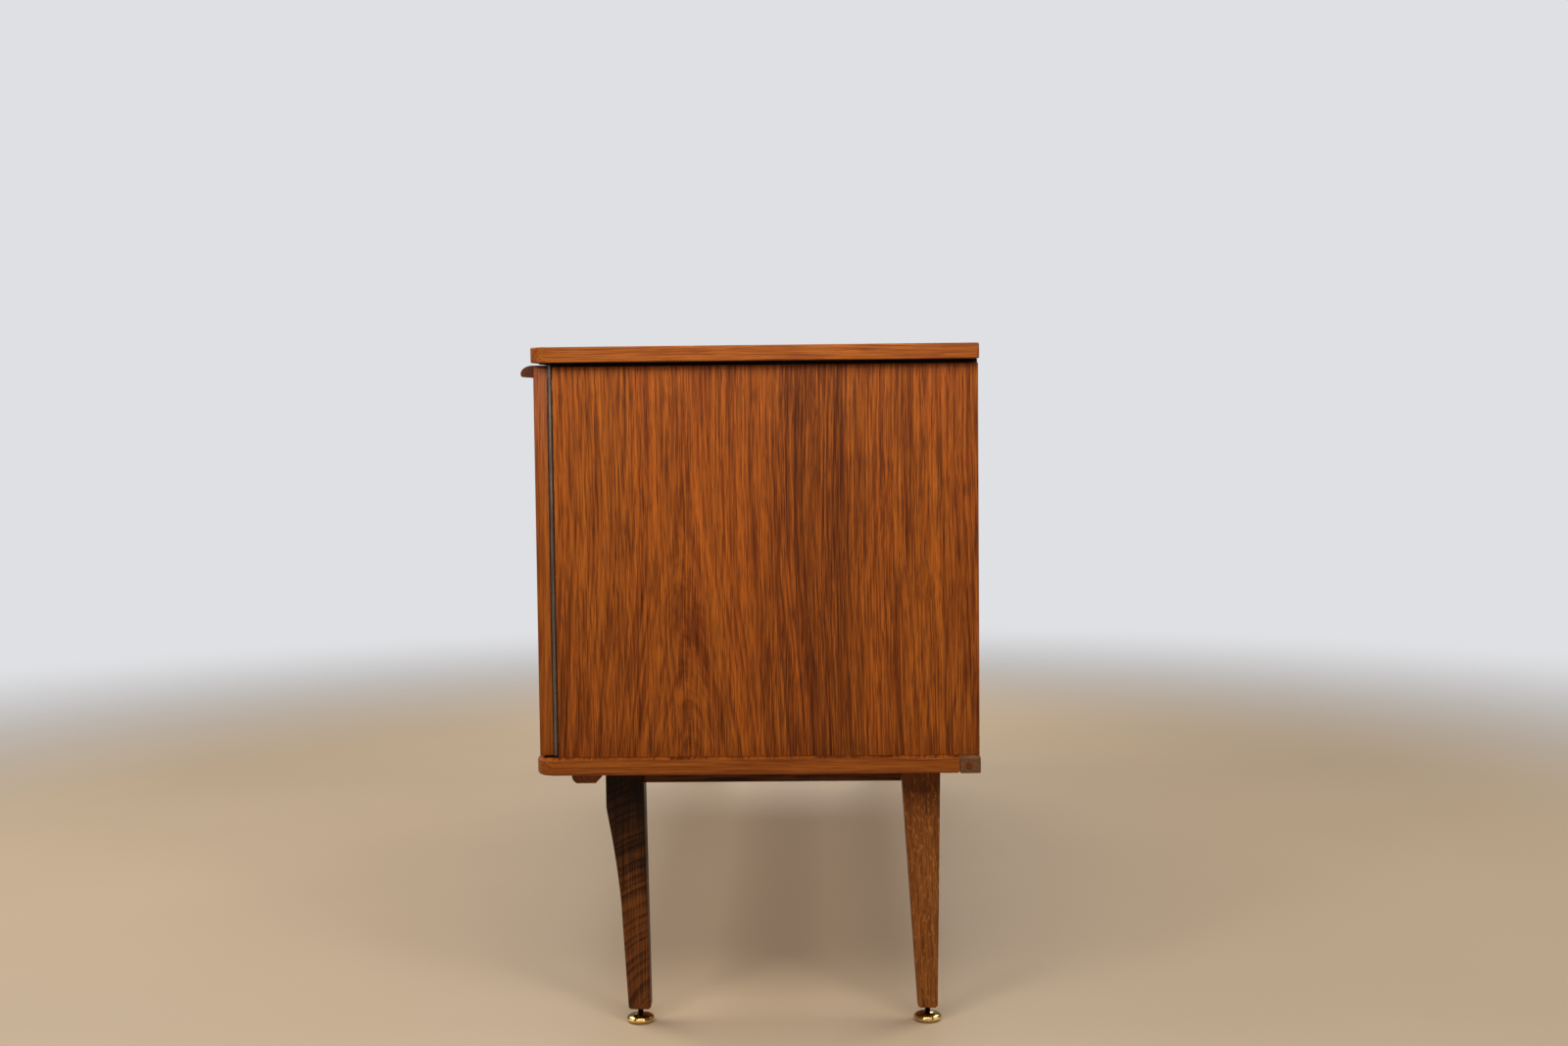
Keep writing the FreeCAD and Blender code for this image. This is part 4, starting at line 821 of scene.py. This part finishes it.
class SIDEBOARD_OT_feet(bpy.types.Operator):
    """Levelling feet with threaded studs"""
    bl_idname = "sideboard.feet"
    bl_label = "Levelling feet"

    def execute(self, context):
        pitch = context.scene.sideboard_shapes.thread_pitch
        # Polished brass: warm mirror with faint turning lines.
        brass = metal("polished_brass_foot", "brass", rough=0.07, marks=0.09, scale=(60, 60, 900),
                      dull=0.08)
        # Blackened steel thread, oily and dull.
        stud_steel = metal("blackened_steel_stud", "stud", rough=0.4, marks=0.2, scale=(300, 300, 300),
                           dull=0.3)
        rim, brim, contact, stud, crest = 15.0 * MM, 14.5 * MM, 10.0 * MM, 3.0 * MM, 0.55 * MM
        bowl, edge_height, dome, step = 4.0 * MM, 4.8 * MM, 9.0 * MM, 0.2 * MM
        # The profile, as radius and height: a quarter ellipse from the floor up to the rim, a rounded edge,
        # and a quarter ellipse over the dome to the stud.
        profile = np.concatenate([
            [(0.4 * MM, 0.0), (contact - 0.3 * MM, 0.0)],
            quarter((contact, 0.0), (rim, 0.0), (rim, bowl), 12),
            quarter((rim, bowl + step), (rim, edge_height), (rim - 0.3 * MM, edge_height), 3),
            quarter((brim, edge_height + step), (brim, dome), (stud + 2 * step, dome), 12),
            [(stud - step, dome + 0.05 * MM)]])
        points = 40
        angle = np.linspace(0, 2 * np.pi, points, endpoint=False)
        for which in ("front", "rear"):
            for side in SIDES:
                node = f"foot_{which}_{side}"
                lo, hi = span(node)
                x, y = (lo[0] + hi[0]) / 2, (lo[1] + hi[1]) / 2
                # The stud's radius follows a zigzag that climbs one pitch for each turn round it.
                climb = np.arange(dome + 0.5 * MM, hi[2] - 1.0 * MM, pitch / 6)
                phase = (climb[:, None] / pitch - angle[None] / (2 * np.pi)) % 1
                ridge = stud - crest * np.abs(2 * phase - 1)
                tip = np.full((1, points), 1.8 * MM)
                radius = np.concatenate([np.repeat(profile[:, :1], points, 1), ridge, tip])
                zones = (np.arange(len(radius) - 1) >= len(profile) - 1).astype(int)[:, None]
                height = np.concatenate([profile[:, 1], climb, [hi[2]]])
                rings = np.stack([x + radius * np.cos(angle), y + radius * np.sin(angle),
                                  np.repeat(height[:, None], points, 1)], -1)
                piece(node, [shell(rings, zones)], [brass, stud_steel])
        return {"FINISHED"}


class SIDEBOARD_OT_fittings(bpy.types.Operator):
    """Finishes of the fittings that keep their CAD shape: dowels, screws, catches, pins and spacers"""
    bl_idname = "sideboard.fittings"
    bl_label = "Fittings"

    def execute(self, context):
        # Zinc-plated steel: pale grey with soft cloudy marks.
        zinc = metal("zinc_plated_screw", "zinc", rough=0.28, marks=0.2, scale=(400, 400, 400), dull=0.25)
        # Wood stained black, unpolished. The black is also painted shade: it stands in for the shadow deep
        # in the gap under the top, which makes the gap look empty.
        black = matt("black_spacer_gap_shade", linear("#0d0b0a"), linear("#1c1815"), scale=60.0, rough=0.6)
        # Moulded brown plastic with a slight gloss.
        case = matt("moulded_catch_case", linear("#4a3222"), linear("#5d412d"), scale=200.0, rough=0.4)
        finishes = {"carcass_dowels": box_wood("z", "y"), "spacer_strips": black, "magnetic_catches": case}
        for name, node in frame["nodes"].items():
            if node.hide_render:
                continue
            node.data.materials.clear()
            node.data.materials.append(finishes.get(name, zinc))
        return {"FINISHED"}


class SIDEBOARD_OT_stage(bpy.types.Operator):
    """Plain pale floor, soft studio lights, even surroundings and the camera"""
    bl_idname = "sideboard.stage"
    bl_label = "Stage"

    def execute(self, context):
        palette = context.scene.sideboard_colours
        # A flat disc: each ring's points are its radius times a cosine and a sine.
        radii = np.array(FLOOR_RINGS)
        angle = np.linspace(0, 2 * np.pi, 72, endpoint=False)
        across = radii[:, None] * np.stack([np.cos(angle), np.sin(angle)])[:, None]
        verts = np.stack([across[0], across[1], np.zeros_like(across[0])], -1).reshape(-1, 3)
        rows, points = len(radii), len(angle)
        i, j = np.arange(rows - 1)[:, None] * points, np.arange(points)[None]
        ahead = (j + 1) % points
        quads = np.stack([i + j, i + points + j, i + points + ahead, i + ahead], -1).reshape(-1, 4).tolist()
        mesh = bpy.data.meshes.new("studio_floor")
        mesh.from_pydata(verts.tolist(), [], quads + [list(range(points))])
        floor = bpy.data.objects.new("studio_floor", mesh)
        context.scene.collection.objects.link(floor)
        mesh.materials.append(self.floor_finish(palette))
        self.surround(context.scene, palette)
        for name, place, aim, size, power in LAMPS:
            self.lamp(context.scene, name, place, aim, size, power)
        self.camera(context.scene)
        return {"FINISHED"}

    def floor_finish(self, palette):
        """Plain matt studio floor, with the faintest clouding. Beyond a few metres it thins out to nothing,
        so no edge shows against the even surroundings."""
        material, tree = fresh("matt_painted_floor")
        tone = np.array(palette.floor)
        where = add(tree, "TexCoord", {})
        clouds = add(tree, "TexNoise", {"Vector": where.outputs["Object"], "Scale": 2.5, "Detail": 3.0})
        shade = add(tree, "ValToRGB", {"Fac": clouds}, stops=((0.3, tone * 0.97), (0.7, tone)))
        surface = add(tree, "BsdfPrincipled", {"Base Color": shade, "Roughness": 0.55})
        gone = add(tree, "BsdfTransparent", {})
        reach = add(tree, "VectorMath", {0: where.outputs["Object"]}, operation="LENGTH").outputs["Value"]
        fade = add(tree, "MapRange", {"Value": reach, "From Min": FLOOR_FADE[0], "From Max": FLOOR_FADE[1]},
                   interpolation_type="SMOOTHSTEP")
        mixed = add(tree, "MixShader", {0: fade, 1: surface, 2: gone})
        add(tree, "OutputMaterial", {"Surface": mixed})
        return material

    def surround(self, scene, palette):
        """Even pale surroundings, which light the sideboard less than they shine behind it."""
        world = bpy.data.worlds.new("studio_surroundings")
        world.use_nodes = True
        tree = world.node_tree
        seen = add(tree, "LightPath", {}).outputs["Is Camera Ray"]
        strength = add(tree, "MapRange", {"Value": seen, "To Min": WORLD_LIGHT, "To Max": 1.0})
        background = tree.nodes["Background"]
        background.inputs["Color"].default_value = (*palette.wall, 1)
        tree.links.new(strength.outputs[0], background.inputs["Strength"])
        scene.world = world

    def lamp(self, scene, name, place, aim, size, power):
        """Soft rectangle of warm white light at a place, which looks at another and isn't seen itself."""
        light = bpy.data.lights.new(name, "AREA")
        light.shape, light.energy, light.color = "RECTANGLE", power, linear("#fffaf3")
        light.size, light.size_y = size
        lamp = bpy.data.objects.new(name, light)
        lamp.location = place
        lamp.rotation_euler = (Vector(aim) - Vector(place)).to_track_quat("-Z", "Y").to_euler()
        lamp.visible_camera = False
        scene.collection.objects.link(lamp)

    def camera(self, scene):
        """Camera that looks at the right-hand end from near the height of the top."""
        down, yaw, roll = (math.radians(a) for a in (CAMERA_DOWN, CAMERA_YAW, CAMERA_ROLL))
        forward = Vector((-math.cos(yaw) * math.cos(down), -math.sin(yaw) * math.cos(down),
                          -math.sin(down)))
        level = Vector((-math.sin(yaw), math.cos(yaw), 0))
        upright = level.cross(forward)
        right = level * math.cos(roll) + upright * math.sin(roll)
        up = upright * math.cos(roll) - level * math.sin(roll)
        data = bpy.data.cameras.new("camera")
        data.lens, data.sensor_width = CAMERA_LENS, 36.0
        data.clip_start, data.clip_end = 0.05, 60.0
        camera = bpy.data.objects.new("camera", data)
        turn = Matrix((right, up, -forward)).transposed().to_4x4()
        camera.matrix_world = Matrix.Translation(CAMERA_PLACE) @ turn
        scene.collection.objects.link(camera)
        scene.camera = camera


OPERATORS = (SIDEBOARD_OT_top, SIDEBOARD_OT_base, SIDEBOARD_OT_panels, SIDEBOARD_OT_inner_boards,
             SIDEBOARD_OT_doors, SIDEBOARD_OT_drawer_fronts, SIDEBOARD_OT_drawer_boxes,
             SIDEBOARD_OT_handles, SIDEBOARD_OT_hinges, SIDEBOARD_OT_legs, SIDEBOARD_OT_rails,
             SIDEBOARD_OT_feet, SIDEBOARD_OT_fittings, SIDEBOARD_OT_stage)


class SIDEBOARD_PT_panel(bpy.types.Panel):
    """Sizes, colours and building steps of the sideboard"""
    bl_idname = "SIDEBOARD_PT_panel"
    bl_label = "Teak sideboard"
    bl_space_type = "VIEW_3D"
    bl_region_type = "UI"
    bl_category = "Sideboard"

    def draw(self, context):
        for group in (context.scene.sideboard_shapes, context.scene.sideboard_colours):
            column = self.layout.column()
            for name in group.__annotations__:
                column.prop(group, name)
        column = self.layout.column()
        for step in OPERATORS:
            column.operator(step.bl_idname)


CLASSES = (SideboardShapes, SideboardColours, *OPERATORS, SIDEBOARD_PT_panel)


def register():
    for each in CLASSES:
        bpy.utils.register_class(each)
    bpy.types.Scene.sideboard_shapes = PointerProperty(type=SideboardShapes)
    bpy.types.Scene.sideboard_colours = PointerProperty(type=SideboardColours)


def unregister():
    del bpy.types.Scene.sideboard_colours
    del bpy.types.Scene.sideboard_shapes
    for each in reversed(CLASSES):
        bpy.utils.unregister_class(each)


def main():
    register()
    bpy.context.scene.view_settings.view_transform = "Standard"
    for step in OPERATORS:
        group, name = step.bl_idname.split(".")
        getattr(getattr(bpy.ops, group), name)()


if __name__ == "__main__":
    main()
